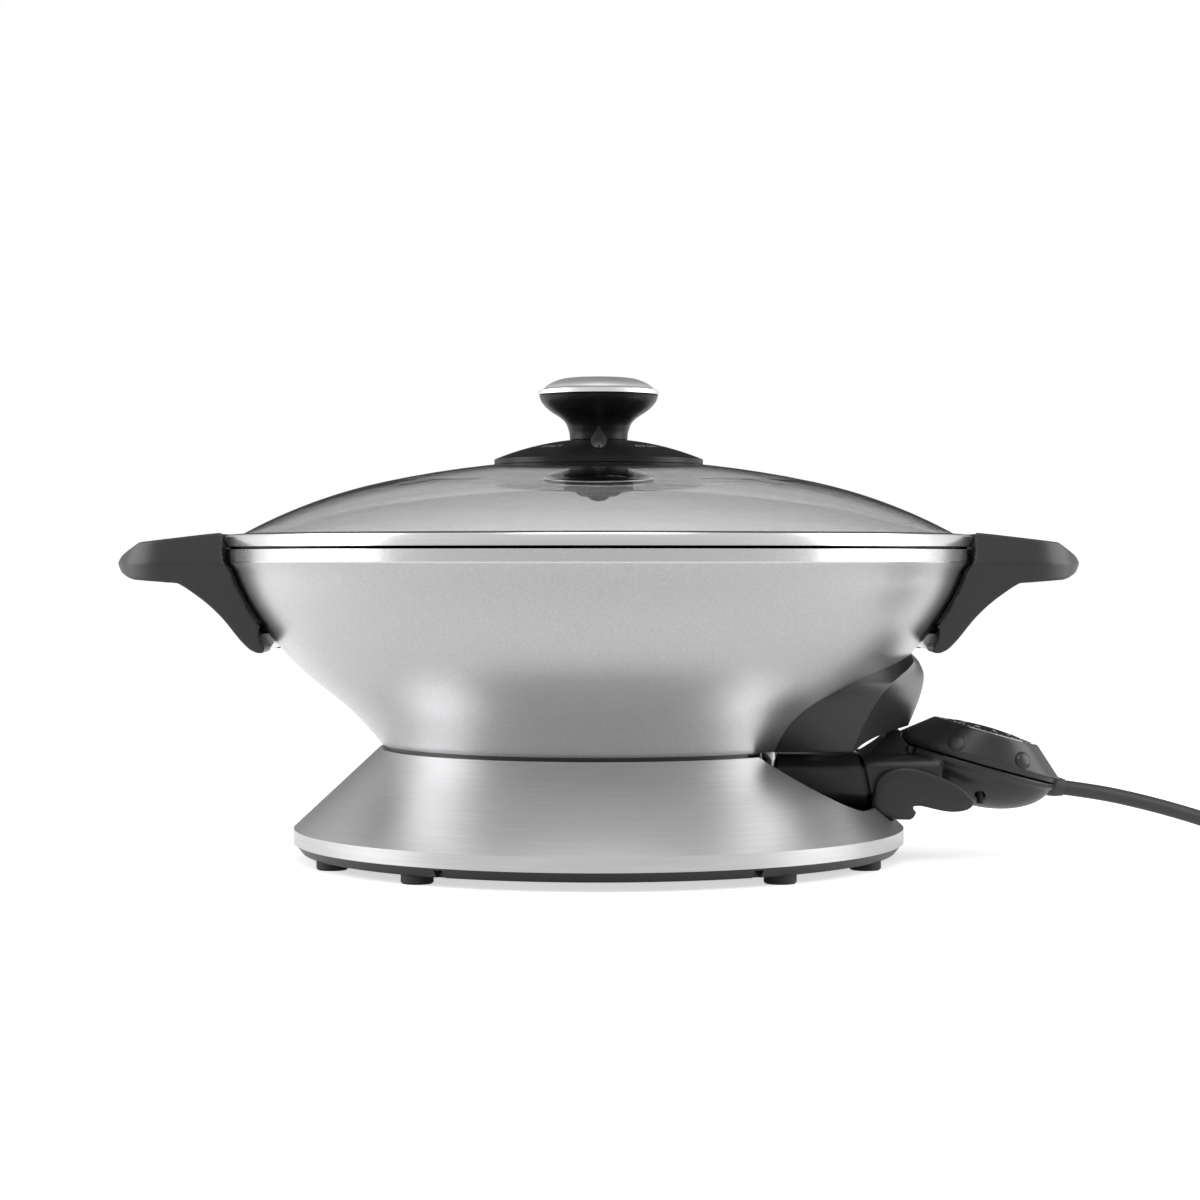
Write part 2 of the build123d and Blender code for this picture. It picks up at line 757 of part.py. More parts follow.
# Level by level: height, then x and y of the back, of the middle of the side and of the crease,
# and x of the front
guard_levels = (
    (60.0, (66.0, 86.5), (97.0, 75.5), (126.8, 63.0), 158.5),
    (75.0, (72.0, 98.5), (103.0, 83.5), (132.8, 66.9), 165.2),
    (86.0, (84.0, 109.5), (113.0, 90.5), (139.0, 66.7), 169.2),
    (95.0, (101.0, 113.5), (127.0, 87.0), (147.5, 60.7), 170.8),
    (101.0, (112.0, 111.0), (137.0, 83.5), (158.5, 40.0), 169.0),
    (105.0, (122.0, 106.0), (146.0, 70.0), (162.5, 26.0), 166.2),
    (112.5, (134.0, 92.0), (152.0, 52.0), (158.0, 22.0), 160.6),
)


def guard_solid(inset):
    """The guard's outer form, or the form of its hollow when the inset is its wall."""
    with BuildPart() as form:
        for z, back, middle, crease, front in guard_levels:
            level_z = z - inset * (z > guard_levels[3][0]) - inset * 3 * (z == guard_bottom_z)
            with BuildSketch(Plane.XY.offset(level_z)):
                with BuildLine():
                    for side in (-1, 1):
                        ThreePointArc(
                            (back[0], side * (back[1] - inset)),
                            (middle[0] - inset * 0.5, side * (middle[1] - inset)),
                            (crease[0] - inset * 0.8, side * (crease[1] - inset)),
                        )
                    ThreePointArc(
                        (crease[0] - inset * 0.8, inset - crease[1]),
                        (front - inset, 0),
                        (crease[0] - inset * 0.8, crease[1] - inset),
                    )
                    Line((back[0], inset - back[1]), (back[0], back[1] - inset))
                make_face()
        loft(ruled=True)
    return form.part


with BuildPart() as element_guard:
    add(guard_solid(0))
    add(guard_solid(guard_wall), mode=Mode.SUBTRACT)
    with BuildSketch(Plane.YZ.offset(guard_boss_x)):
        with Locations((0, guard_bottom_z)):
            Ellipse(guard_arch_half_width, guard_arch_height)
    extrude(amount=60, mode=Mode.SUBTRACT)
    for side in (-1, 1):
        with BuildSketch(Plane.XY.offset(guard_lug_z)):
            with Locations((guard_boss_x, side * (guard_boss_y + 3))):
                Rectangle(14, 20)
            with Locations((guard_boss_x, side * guard_boss_y)):
                Circle(screw_radius + seat_gap, mode=Mode.SUBTRACT)
        extrude(amount=guard_wall)
    add(bowl_envelope(guard_bowl_gap), mode=Mode.SUBTRACT)
    split(bisect_by=Plane.YZ.offset(guard_back_x), keep=Keep.TOP)
save(element_guard, "element_guard")

with BuildPart() as guard_screws:
    with BuildSketch(Plane.XY.offset(guard_lug_z)):
        with Locations((guard_boss_x, guard_boss_y), (guard_boss_x, -guard_boss_y)):
            Circle(screw_head_radius)
    extrude(amount=-screw_head_height)
    with BuildSketch(Plane.XY.offset(guard_lug_z)):
        with Locations((guard_boss_x, guard_boss_y), (guard_boss_x, -guard_boss_y)):
            Circle(screw_radius)
    extrude(amount=10)
save(guard_screws, "guard_screws")

# ---------------------------------------------------------------- handles

# Side outline of a handle, from the rim: outwards and up
handle_tip = (54.6, -7.0)
handle_top = ((-4.0, 8.6), (6.5, 7.6), (40.3, 3.7), (50.9, -3.0), handle_tip)
handle_under = (handle_tip, (51.0, -12.0), (46.9, -14.3), (43.2, -15.5), (19.3, -17.2))
handle_belly = ((19.3, -17.2), (6.8, -25.6), (-4.6, -36.3), (-11.3, -44.7), (-17.5, -51.0))
handle_foot = (
    (-17.5, -51.0), (-21.0, -52.6), (-24.0, -52.6), (-25.2, -50.5), (-22.5, -46.0), (-21.5, -39.5),
    (-34.0, -38.0), (-34.0, 8.6),
)
bracket_outline = (
    (-27.0, -43.4), (-26.4, -48.2), (-24.0, -51.6), (-20.8, -52.2), (-18.6, -49.5), (-18.3, -43.4),
)
spacer_outline = ((-34.0, -43.3), (-18.2, -43.3), (-18.2, -38.3), (-34.0, -38.3))
# Room in the handle for its bracket and spacer
pocket_outline = (
    (-40.0, -56.0), (-40.0, -38.1), (-17.5, -38.1), (-18.1, -43.4), (-18.4, -49.6), (-20.7, -52.4),
    (-20.7, -56.0),
)
screw_seat_x = -4.5


def from_rim(points):
    """Points given outwards and up from the rim, in the frame's own x and z."""
    return [(rim_radius + x, rim_z + z) for x, z in points]


def make_handle():
    """The right handle. The left one is its mirror image."""
    crease_z = rim_z + handle_tip[1]
    tip_x = rim_radius + handle_tip[0]
    root_x = rim_radius - handle_root_inset
    with BuildPart() as handle:
        for amount, taper in ((40, 14), (-70, 7)):
            with BuildSketch(Plane.XY.offset(crease_z)):
                with BuildLine():
                    FilletPolyline(
                        (root_x, -handle_root_half_width),
                        (tip_x + 0.01, -handle_half_width),
                        (tip_x + 0.01, handle_half_width),
                        (root_x, handle_root_half_width),
                        radius=handle_plan_radius,
                    )
                    Line((root_x, handle_root_half_width), (root_x, -handle_root_half_width))
                make_face()
            extrude(amount=amount, taper=taper)
        with BuildSketch(Plane.XZ.offset(-80)):
            with BuildLine():
                Polyline(*from_rim(handle_top))
                Polyline(*from_rim(handle_under))
                Spline(*from_rim(handle_belly))
                Polyline(*from_rim(handle_foot), from_rim(handle_top)[0])
            make_face()
        extrude(amount=160, mode=Mode.INTERSECT)
        add(bowl_envelope(handle_bowl_gap), mode=Mode.SUBTRACT)
    with BuildPart() as flange:
        with BuildSketch(Plane.XY.offset(rim_z - 12)):
            Circle(rim_radius + handle_flange_reach)
            Circle(rim_radius + 1.4, mode=Mode.SUBTRACT)
        extrude(amount=20.4)
        with BuildSketch(Plane.YZ.offset(root_x)):
            with BuildLine():
                Polyline(
                    (-handle_flange_half_width, rim_z - 12),
                    (-handle_flange_half_width, rim_z + 1.6),
                    (-16, rim_z + 8.2),
                    (16, rim_z + 8.2),
                    (handle_flange_half_width, rim_z + 1.6),
                    (handle_flange_half_width, rim_z - 12),
                    close=True,
                )
            make_face()
        extrude(amount=60, mode=Mode.INTERSECT)
    with BuildPart() as pad:
        with BuildSketch(Plane.XZ.offset(-handle_boss_half_width)):
            with BuildLine():
                Polyline(*from_rim(((-30, -37.8), (-8, -37.8), (4, -20), (4, -2), (-30, -2))), close=True)
            make_face()
        extrude(amount=2 * handle_boss_half_width)
        add(bowl_envelope(seat_gap * 2), mode=Mode.SUBTRACT)
    with BuildPart() as whole:
        add(handle.part)
        add(flange.part)
        add(pad.part)
        with BuildSketch(Plane.XZ.offset(-bracket_half_width - seat_gap)):
            with BuildLine():
                Polyline(*from_rim(pocket_outline), close=True)
            make_face()
        extrude(amount=2 * (bracket_half_width + seat_gap), mode=Mode.SUBTRACT)
        lug_end_x = rim_radius - lug_depth + lug_length
        with BuildSketch(Plane.YZ.offset(lug_end_x + seat_gap)):
            with Locations((0, lug_z)):
                Circle(lug_radius + moving_gap)
        extrude(amount=-20, mode=Mode.SUBTRACT)
        with BuildSketch(Plane.YZ.offset(lug_end_x)):
            with Locations((0, lug_z)):
                Circle(screw_radius + seat_gap)
        extrude(amount=30, mode=Mode.SUBTRACT)
        with BuildSketch(Plane.YZ.offset(rim_radius + screw_seat_x)):
            with Locations((0, lug_z)):
                Circle(screw_head_radius + moving_gap)
        extrude(amount=40, mode=Mode.SUBTRACT)
    return whole.part


handle_solid = make_handle()
with BuildPart() as right_handle:
    add(handle_solid)
save(right_handle, "right_handle")
with BuildPart() as left_handle:
    add(handle_solid)
    mirror(about=Plane.YZ, mode=Mode.REPLACE)
save(left_handle, "left_handle")

with BuildPart() as handle_brackets:
    with BuildSketch(Plane.XZ.offset(-bracket_half_width)):
        with BuildLine():
            Polyline(*from_rim(bracket_outline), close=True)
        make_face()
    extrude(amount=2 * bracket_half_width)
    add(bowl_envelope(seat_gap), mode=Mode.SUBTRACT)
    mirror(about=Plane.YZ)
save(handle_brackets, "handle_brackets")

with BuildPart() as handle_spacers:
    with BuildSketch(Plane.XZ.offset(-spacer_half_width)):
        with BuildLine():
            Polyline(*from_rim(spacer_outline), close=True)
        make_face()
    extrude(amount=2 * spacer_half_width)
    add(bowl_envelope(seat_gap), mode=Mode.SUBTRACT)
    mirror(about=Plane.YZ)
save(handle_spacers, "handle_spacers")

with BuildPart() as handle_screws:
    for side in (-1, 1):
        with BuildSketch(Plane.YZ.offset(side * (rim_radius + screw_seat_x))):
            with Locations((0, lug_z)):
                Circle(screw_head_radius)
        extrude(amount=side * screw_head_height)
        with BuildSketch(Plane.YZ.offset(side * (rim_radius + screw_seat_x))):
            with Locations((0, lug_z)):
                Circle(screw_radius)
        extrude(amount=-side * (screw_seat_x + lug_depth - lug_length + 4))
save(handle_screws, "handle_screws")

# ---------------------------------------------------------------- lid

band_radius = rim_radius + 0.3
band_bottom_z = rim_z + band_lift
band_top_z_lid = band_bottom_z + band_height
lip_radius = rim_radius - bowl_wall - 1.4

with BuildPart() as lid_rim_band:
    with BuildSketch(Plane.XZ):
        with BuildLine():
            Polyline(
                (band_radius, band_bottom_z),
                (band_radius, band_top_z_lid - 1.4),
                (band_radius - 0.5, band_top_z_lid - 0.4),
                (band_radius - 1.6, band_top_z_lid),
                (band_radius - band_top_width, band_top_z_lid + 0.6),
                (band_radius - band_top_width, band_top_z_lid - 0.4),
                (band_radius - 2, band_top_z_lid - 1),
                (band_radius - band_wall, band_top_z_lid - 2),
                (band_radius - band_wall, glass_edge_z - glass_thickness - 0.1),
                (glass_edge_radius - 3.6, glass_edge_z - glass_thickness - 0.1),
                (glass_edge_radius - 3.6, glass_edge_z - glass_thickness - 1.1),
                (lip_radius - 1, glass_edge_z - glass_thickness - 1.1),
                (lip_radius - 1, rim_z - 2.5),
                (lip_radius, rim_z - 2.5),
                (lip_radius, rim_z + lid_rim_gap),
                (band_radius - 2.4, rim_z + lid_rim_gap),
                (band_radius - 2.4, band_bottom_z),
                close=True,
            )
        make_face()
    revolve(axis=Axis.Z)
save(lid_rim_band, "lid_rim_band")

with BuildPart() as lid_glass:
    with BuildSketch(Plane.XZ):
        with BuildLine():
            for drop in (0, glass_thickness):
                centre_arc = TangentArc(
                    (0, glass_top_z - drop),
                    (glass_shoulder_radius, glass_shoulder_z - drop),
                    tangent=(1, 0),
                )
                TangentArc(
                    (glass_shoulder_radius, glass_shoulder_z - drop),
                    (glass_edge_radius, glass_edge_z - drop),
                    tangent=centre_arc % 1,
                )
            Line((0, glass_top_z), (0, glass_top_z - glass_thickness))
            Line((glass_edge_radius, glass_edge_z), (glass_edge_radius, glass_edge_z - glass_thickness))
        make_face()
    revolve(axis=Axis.Z)
    with BuildSketch(Plane.XY.offset(glass_top_z + 1)):
        Circle(glass_hole_radius)
    extrude(amount=-10, mode=Mode.SUBTRACT)
save(lid_glass, "lid_glass")

spindle_bore = spindle_radius + running_gap
gasket_radius = boss_radius + 2
gasket_thickness = 0.9


def glass_z(radius):
    """Height of the glass's top at a radius inside its shoulder."""
    sag = glass_top_z - glass_shoulder_z
    curve = (glass_shoulder_radius**2 + sag**2) / (2 * sag)
    return glass_top_z - curve + (curve**2 - radius**2) ** 0.5


with BuildPart() as vent_collar:
    with BuildSketch(Plane.XZ):
        with BuildLine():
            ThreePointArc(
                (spindle_radius + moving_gap, glass_top_z + gasket_thickness + seat_gap),
                (30, glass_z(30) + 0.8),
                (vent_radius, glass_z(vent_radius) + 0.2),
            )
            Line((vent_radius, glass_z(vent_radius) + 0.2), (vent_radius, vent_edge_z - 0.8))
            ThreePointArc(
                (vent_radius, vent_edge_z - 0.8),
                (vent_shoulder_radius, vent_top_z - 3),
                (vent_flat_radius, vent_top_z),
            )
            Polyline(
                (vent_flat_radius, vent_top_z),
                (spindle_radius + moving_gap, vent_top_z),
                (spindle_radius + moving_gap, glass_top_z + gasket_thickness + seat_gap),
            )
        make_face()
    revolve(axis=Axis.Z)
    with BuildSketch(Plane.XY.offset(glass_top_z - 3)):
        Circle(gasket_radius + 0.3)
        Circle(spindle_radius, mode=Mode.SUBTRACT)
    extrude(amount=gasket_thickness + 3 + seat_gap, mode=Mode.SUBTRACT)
save(vent_collar, "vent_collar")

with BuildPart() as vent_gasket:
    with BuildSketch(Plane.XY.offset(glass_top_z + seat_gap)):
        Circle(gasket_radius)
        Circle(glass_hole_radius, mode=Mode.SUBTRACT)
    extrude(amount=gasket_thickness - seat_gap)
save(vent_gasket, "vent_gasket")

under_boss_top_z = glass_z(boss_radius) - glass_thickness - seat_gap

with BuildPart() as under_boss:
    with BuildSketch(Plane.XZ):
        with BuildLine():
            Polyline(
                (spindle_bore, glass_top_z + gasket_thickness),
                (glass_hole_radius - seat_gap, glass_top_z + gasket_thickness),
                (glass_hole_radius - seat_gap, under_boss_top_z),
                (boss_radius, under_boss_top_z),
                (boss_radius, washer_z + washer_thickness),
                (boss_radius - 2, washer_z + washer_thickness),
                (boss_radius - 2, washer_z),
                (boss_radius, washer_z),
                (boss_radius, under_boss_bottom_z + 1),
                (boss_radius - 5, under_boss_bottom_z),
                (shutter_radius + 1.6, under_boss_bottom_z),
                (shutter_radius + 1.6, washer_z - 0.8),
                (spindle_bore, washer_z - 0.8),
                close=True,
            )
        make_face()
    revolve(axis=Axis.Z)
    with BuildSketch(Plane.XY.offset(washer_z - 2)):
        with PolarLocations(spindle_radius + 0.3, 4, start_angle=45):
            Circle(0.9)
    extrude(amount=30, mode=Mode.SUBTRACT)
save(under_boss, "under_boss")

with BuildPart() as lid_washer:
    with BuildSketch(Plane.XY.offset(washer_z)):
        Circle(boss_radius + washer_overhang)
        Circle(boss_radius - 2 + press_gap, mode=Mode.SUBTRACT)
    extrude(amount=washer_thickness)
save(lid_washer, "lid_washer")

# ---------------------------------------------------------------- vent knob

shutter_top_z = washer_z - 1.0

knob_side = [
    (neck_radius + u * (knob_radius - 0.2 - neck_radius), knob_bottom_z + v * knob_widest_height)
    for u, v in knob_shape
]

with BuildPart() as knob_body:
    with BuildSketch(Plane.XZ):
        with BuildLine():
            Polyline(
                (0, knob_seam_z - 1),
                (0, knob_bottom_z),
                (neck_radius, knob_bottom_z),
                knob_side[0],
            )
            Spline(*knob_side)
            Polyline(
                knob_side[-1],
                (knob_radius - 0.8, knob_seam_z - 0.2),
                (knob_radius - 2.4, knob_seam_z - 0.2),
                (knob_radius - 2.4, knob_seam_z + 1.4),
                (0, knob_seam_z + 1.4),
                (0, knob_seam_z - 1),
            )
        make_face()
    revolve(axis=Axis.Z)
    with BuildSketch(Plane.XY.offset(vent_edge_z)):
        with BuildLine():
            Polyline(
                (pointer_half_width, 0),
                (pointer_half_width, -pointer_widest_reach),
                (1.2, 0.8 - pointer_reach),
            )
            ThreePointArc((1.2, 0.8 - pointer_reach), (0, -pointer_reach), (-1.2, 0.8 - pointer_reach))
            Polyline(
                (-1.2, 0.8 - pointer_reach),
                (-pointer_half_width, -pointer_widest_reach),
                (-pointer_half_width, 0),
                (pointer_half_width, 0),
            )
        make_face()
    pointer = extrude(amount=pointer_top_z - vent_edge_z, mode=Mode.PRIVATE)
    ridge_plane = Plane(
        origin=(0, -neck_radius, pointer_top_z),
        x_dir=(1, 0, 0),
        z_dir=(0, neck_radius - pointer_reach, -pointer_drop),
    )
    with BuildSketch(ridge_plane):
        Polygon(
            (0, 0),
            (-2 * pointer_half_width, -2 * pointer_side_height),
            (2 * pointer_half_width, -2 * pointer_side_height),
            align=None,
        )
    roof = extrude(amount=2 * pointer_reach, both=True, mode=Mode.PRIVATE)
    with BuildPart(mode=Mode.PRIVATE) as below_pointer:
        with BuildSketch(Plane.XZ):
            with BuildLine():
                ThreePointArc(
                    (vent_radius, vent_edge_z - 0.8 + moving_gap),
                    (vent_shoulder_radius, vent_top_z - 3 + moving_gap),
                    (vent_flat_radius, vent_top_z + moving_gap),
                )
                Polyline(
                    (vent_flat_radius, vent_top_z + moving_gap),
                    (0, vent_top_z + moving_gap),
                    (0, vent_top_z - 20),
                    (vent_radius, vent_top_z - 20),
                    (vent_radius, vent_edge_z - 0.8 + moving_gap),
                )
            make_face()
        revolve(axis=Axis.Z)
    add(pointer & roof - below_pointer.part)
    with BuildSketch(Plane.XY.offset(knob_bottom_z - 1)):
        Circle(spindle_radius + press_gap)
    extrude(amount=14, mode=Mode.SUBTRACT)
save(knob_body, "knob_body")

with BuildPart() as knob_cap:
    with BuildSketch(Plane.XZ):
        with BuildLine():
            Polyline(
                (knob_radius, knob_seam_z),
                (knob_radius, knob_seam_z + knob_band_height),
                (knob_radius - 0.9, knob_seam_z + knob_band_height + 0.3),
            )
            Spline(
                (knob_radius - 0.9, knob_seam_z + knob_band_height + 0.3),
                (knob_radius - 5.7, knob_top_z - 4.5),
                (knob_flat_radius + 6, knob_top_z - 1.9),
                (knob_flat_radius, knob_top_z - 0.2),
                (0, knob_top_z),
                tangents=((-1, 0.45), (-1, 0)),
            )
            Polyline(
                (0, knob_top_z),
                (0, knob_top_z - knob_cap_wall),
                (knob_flat_radius, knob_top_z - 0.2 - knob_cap_wall),
                (knob_flat_radius + 5, knob_top_z - 2.4 - knob_cap_wall),
                (knob_radius - 2.2, knob_seam_z + knob_band_height),
                (knob_radius - 2.2, knob_seam_z),
                (knob_radius, knob_seam_z),
            )
        make_face()
    revolve(axis=Axis.Z)
save(knob_cap, "knob_cap")

with BuildPart() as knob_spindle:
    with BuildSketch(Plane.XY.offset(shutter_top_z)):
        Circle(spindle_radius)
        Circle(screw_radius + running_gap, mode=Mode.SUBTRACT)
    extrude(amount=knob_bottom_z + 12 - shutter_top_z)
save(knob_spindle, "knob_spindle")

with BuildPart() as vent_shutter:
    with BuildSketch(Plane.XZ):
        with BuildLine():
            Polyline(
                (screw_radius + running_gap, shutter_top_z),
                (shutter_radius + 1, shutter_top_z),
                (shutter_radius + 1, shutter_top_z - 3),
                (shutter_radius - 1.4, shutter_z),
                (screw_radius + running_gap, shutter_z),
                close=True,
            )
        make_face()
    revolve(axis=Axis.Z)
    with BuildSketch(Plane.XY.offset(shutter_z - 1)):
        with PolarLocations(shutter_radius, shutter_notches):
            Rectangle(3.2, 1.6)
    extrude(amount=3.4, mode=Mode.SUBTRACT)
    with BuildSketch(Plane.XY.offset(shutter_z - 1)):
        with PolarLocations(spindle_radius + 0.3, 4):
            Circle(0.9)
    extrude(amount=30, mode=Mode.SUBTRACT)
save(vent_shutter, "vent_shutter")

with BuildPart() as knob_screw:
    with BuildSketch(Plane.XZ):
        with BuildLine():
            ThreePointArc(
                (0, shutter_z - screw_dome_height),
                (screw_dome_radius * 0.75, shutter_z - screw_dome_height * 0.62),
                (screw_dome_radius, shutter_z),
            )
            Polyline(
                (screw_dome_radius, shutter_z),
                (screw_radius, shutter_z),
                (screw_radius, knob_bottom_z + 11.5),
                (0, knob_bottom_z + 11.5),
                (0, shutter_z - screw_dome_height),
            )
        make_face()
    revolve(axis=Axis.Z)
save(knob_screw, "knob_screw")

# ---------------------------------------------------------------- probe

tilt = radians(head_tilt)
head_plane = Plane(
    origin=(dial_x, 0, dial_z), x_dir=(cos(tilt), 0, -sin(tilt)), z_dir=(sin(tilt), 0, cos(tilt))
)


def from_socket(points):
    """Points given outwards from the socket's end and up from the terminals, in the frame's own x and z."""
    return [(housing_end_x + x, terminal_z + z) for x, z in points]


def head_sketch_plane(depth):
    """A plane across the head, at a depth below the top of the dial."""
    return head_plane.offset(-depth)


def head_loft(inset, top_depth, bottom_depth):
    """The tapering form of the head, from its top circle to the ellipse at its seam."""
    with BuildPart() as form:
        with BuildSketch(head_sketch_plane(top_depth)):
            Circle(head_top_radius - inset)
        with BuildSketch(head_sketch_plane(head_edge_depth)):
            with Locations((head_offset, 0)):
                Ellipse(head_length - inset, head_half_width - inset)
        with BuildSketch(head_sketch_plane(bottom_depth)):
            with Locations((head_offset, 0)):
                Ellipse(head_length - 1.4 - inset, head_half_width - 1.4 - inset)
        loft(ruled=True)
    return form.part


def belly_solid(inset):
    """The lower half of an ellipsoid that hangs under the head's seam."""
    ball = Sphere(1, mode=Mode.PRIVATE)
    sizes = (head_length - belly_inset - inset, head_half_width - belly_inset - inset, belly_depth - inset)
    egg = scale(ball, by=sizes, mode=Mode.PRIVATE)
    seam_plane = head_sketch_plane(head_seam_depth + seam_gap)
    place = Plane(
        origin=seam_plane.from_local_coords(Vector(head_offset, 0, 0)),
        x_dir=seam_plane.x_dir,
        z_dir=seam_plane.z_dir,
    )
    return split(place.location * egg, bisect_by=seam_plane, keep=Keep.BOTTOM, mode=Mode.PRIVATE)


def belly_rim(gap):
    """The lip of the lower shell under the seam, or the room that it needs when there is a gap."""
    with BuildPart() as form:
        with BuildSketch(head_sketch_plane(head_seam_depth + seam_gap)):
            with Locations((head_offset, 0)):
                Ellipse(head_length - rim_inset + gap, head_half_width - rim_inset + gap)
        extrude(amount=-rim_height - gap)
        if not gap:
            chamfer(form.faces().sort_by(Axis.Z)[0].edges(), 1.0)
    return form.part


def nose_solid(inset, end_gap):
    """The squared nose that faces the socket, from its leaning face back under the head."""
    height = nose_top_z - nose_bottom_z
    with BuildPart() as form:
        with BuildSketch(Plane.YZ.offset(housing_end_x - 10)):
            with Locations((0, (nose_top_z + nose_bottom_z) / 2)):
                RectangleRounded(
                    2 * (housing_half_width - inset),
                    height - 2 * inset,
                    housing_corner_radius - min(inset, 2.5),
                )
        extrude(amount=nose_length + 10 - inset)
        with BuildSketch(Plane.XZ.offset(-60)):
            with BuildLine():
                Polyline(
                    (mate_x(0, end_gap), 0),
                    (mate_x(100, end_gap), 100),
                    (housing_end_x - 40, 100),
                    (housing_end_x - 40, 0),
                    close=True,
                )
            make_face()
        extrude(amount=120, mode=Mode.SUBTRACT)
    return form.part


def crest_solid():
    """The ridge that joins the nose to the head, with sloping sides."""
    with BuildPart() as form:
        with BuildSketch(Plane.XZ.offset(-crest_base_half_width)):
            with BuildLine():
                Polyline(*from_socket(crest_outline), close=True)
            make_face()
        extrude(amount=2 * crest_base_half_width)
        with BuildSketch(Plane.YZ.offset(housing_end_x)):
            with BuildLine():
                Polyline(
                    (-crest_base_half_width, nose_top_z - 8),
                    (-crest_base_half_width, nose_top_z),
                    (-crest_half_width, crest_top_z + 1),
                    (crest_half_width, crest_top_z + 1),
                    (crest_base_half_width, nose_top_z),
                    (crest_base_half_width, nose_top_z - 8),
                    close=True,
                )
            make_face()
        extrude(amount=60, mode=Mode.INTERSECT)
    return form.part


block_top_z = housing_top_z - housing_wall - block_margin
block_bottom_z = housing_bottom_z + housing_wall + block_margin
block_height = block_top_z - block_bottom_z
block_mid_z = (block_top_z + block_bottom_z) / 2
head_top_depth = dial_crown
shell_top_wall = bezel_height + 4
dial_floor_depth = dial_crown + dial_thickness + 0.3
tongue_inset = belly_inset + probe_wall + moving_gap
cord_start_direction = Vector(*cord_route[1]) - Vector(*cord_route[0])
relief_plane = Plane(origin=cord_exit, x_dir=(0, 1, 0), z_dir=cord_start_direction)

with BuildPart() as crest_ridge:
    add(crest_solid())
    add(head_loft(-seam_gap, head_top_depth, head_seam_depth + seam_gap), mode=Mode.SUBTRACT)

with BuildPart() as probe_lower_shell:
    add(belly_solid(0))
    add(belly_rim(0))
    add(nose_solid(0, nose_gap))
    split(bisect_by=head_sketch_plane(head_seam_depth + seam_gap), keep=Keep.BOTTOM)
    add(crest_ridge.part)
    add(belly_solid(probe_wall), mode=Mode.SUBTRACT)
    add(nose_solid(probe_wall, nose_gap + probe_wall), mode=Mode.SUBTRACT)
    with BuildSketch(Plane.YZ.offset(housing_end_x - 20)):
        with Locations((0, block_mid_z)):
            RectangleRounded(
                2 * (block_half_width + seat_gap), block_height + 2 * seat_gap, block_corner_radius
            )
    extrude(amount=40, mode=Mode.SUBTRACT)
    with BuildSketch(Plane.XZ.offset(-60)):
        with Locations((trigger_x, trigger_z)):
            Circle(trigger_pin_radius + press_gap)
    extrude(amount=120, mode=Mode.SUBTRACT)
    with BuildSketch(Plane.XY):
        with Locations(*screw_places):
            Circle(screw_radius + screw_hole_gap)
    extrude(amount=60, mode=Mode.SUBTRACT)
    with BuildSketch(relief_plane):
        Circle(relief_radius + seat_gap)
    extrude(amount=-relief_length - 2, mode=Mode.SUBTRACT)
save(probe_lower_shell, "probe_lower_shell")

with BuildPart() as probe_upper_shell:
    add(head_loft(0, head_top_depth, head_seam_depth))
    add(
        head_loft(belly_inset + probe_wall, head_top_depth + shell_top_wall, head_seam_depth + 0.01),
        mode=Mode.SUBTRACT,
    )
    with BuildSketch(head_sketch_plane(head_seam_depth - 2)):
        with Locations((head_offset, 0)):
            Ellipse(head_length - tongue_inset, head_half_width - tongue_inset)
            Ellipse(head_length - tongue_inset - 2, head_half_width - tongue_inset - 2, mode=Mode.SUBTRACT)
    extrude(amount=-4.5)
    with BuildSketch(head_sketch_plane(0)):
        Circle(dial_radius + moving_gap + bezel_width + seat_gap)
    extrude(amount=-head_top_depth - bezel_height, mode=Mode.SUBTRACT)
    with BuildSketch(head_sketch_plane(0)):
        Circle(dial_radius + moving_gap)
    extrude(amount=-dial_floor_depth, mode=Mode.SUBTRACT)
    with BuildSketch(head_sketch_plane(0)):
        Circle(shaft_radius + running_gap)
    extrude(amount=-head_seam_depth, mode=Mode.SUBTRACT)
    with BuildSketch(relief_plane):
        Circle(relief_radius + seat_gap)
    extrude(amount=-relief_length - 2, mode=Mode.SUBTRACT)
save(probe_upper_shell, "probe_upper_shell")

# ---------------------------------------------------------------- dial

with BuildPart() as dial_bezel:
    with BuildSketch(head_sketch_plane(head_top_depth + bezel_height - seat_gap)):
        Circle(dial_radius + moving_gap + bezel_width)
        Circle(dial_radius + moving_gap, mode=Mode.SUBTRACT)
    extrude(amount=bezel_height + 0.2)
save(dial_bezel, "dial_bezel")

with BuildPart() as temperature_dial:
    with BuildSketch(Plane(origin=head_plane.origin, x_dir=head_plane.x_dir, z_dir=(0, -1, 0))):
        with BuildLine():
            TangentArc((0, 0), (dial_radius, -dial_crown), tangent=(1, 0))
            Polyline(
                (dial_radius, -dial_crown),
                (dial_radius, -dial_crown - dial_thickness),
                (0, -dial_crown - dial_thickness),
                (0, 0),
            )
        make_face()
    revolve(axis=Axis(head_plane.origin, head_plane.z_dir))
save(temperature_dial, "temperature_dial")

shaft_top_depth = dial_crown + dial_thickness
bush_length = thermostat_drop - head_top_depth - shell_top_wall - seat_gap

with BuildPart() as dial_shaft:
    with BuildSketch(head_sketch_plane(shaft_top_depth)):
        Circle(shaft_radius)
    extrude(amount=shaft_top_depth - thermostat_drop - 2)
save(dial_shaft, "dial_shaft")

with BuildPart() as thermostat:
    with BuildSketch(head_sketch_plane(thermostat_drop)):
        Rectangle(thermostat_size[0], thermostat_size[1])
        Circle(shaft_radius + running_gap, mode=Mode.SUBTRACT)
    extrude(amount=-thermostat_size[2])
    with BuildSketch(head_sketch_plane(thermostat_drop)):
        Circle(thermostat_bush_radius)
        Circle(shaft_radius + running_gap, mode=Mode.SUBTRACT)
    extrude(amount=bush_length)
save(thermostat, "thermostat")

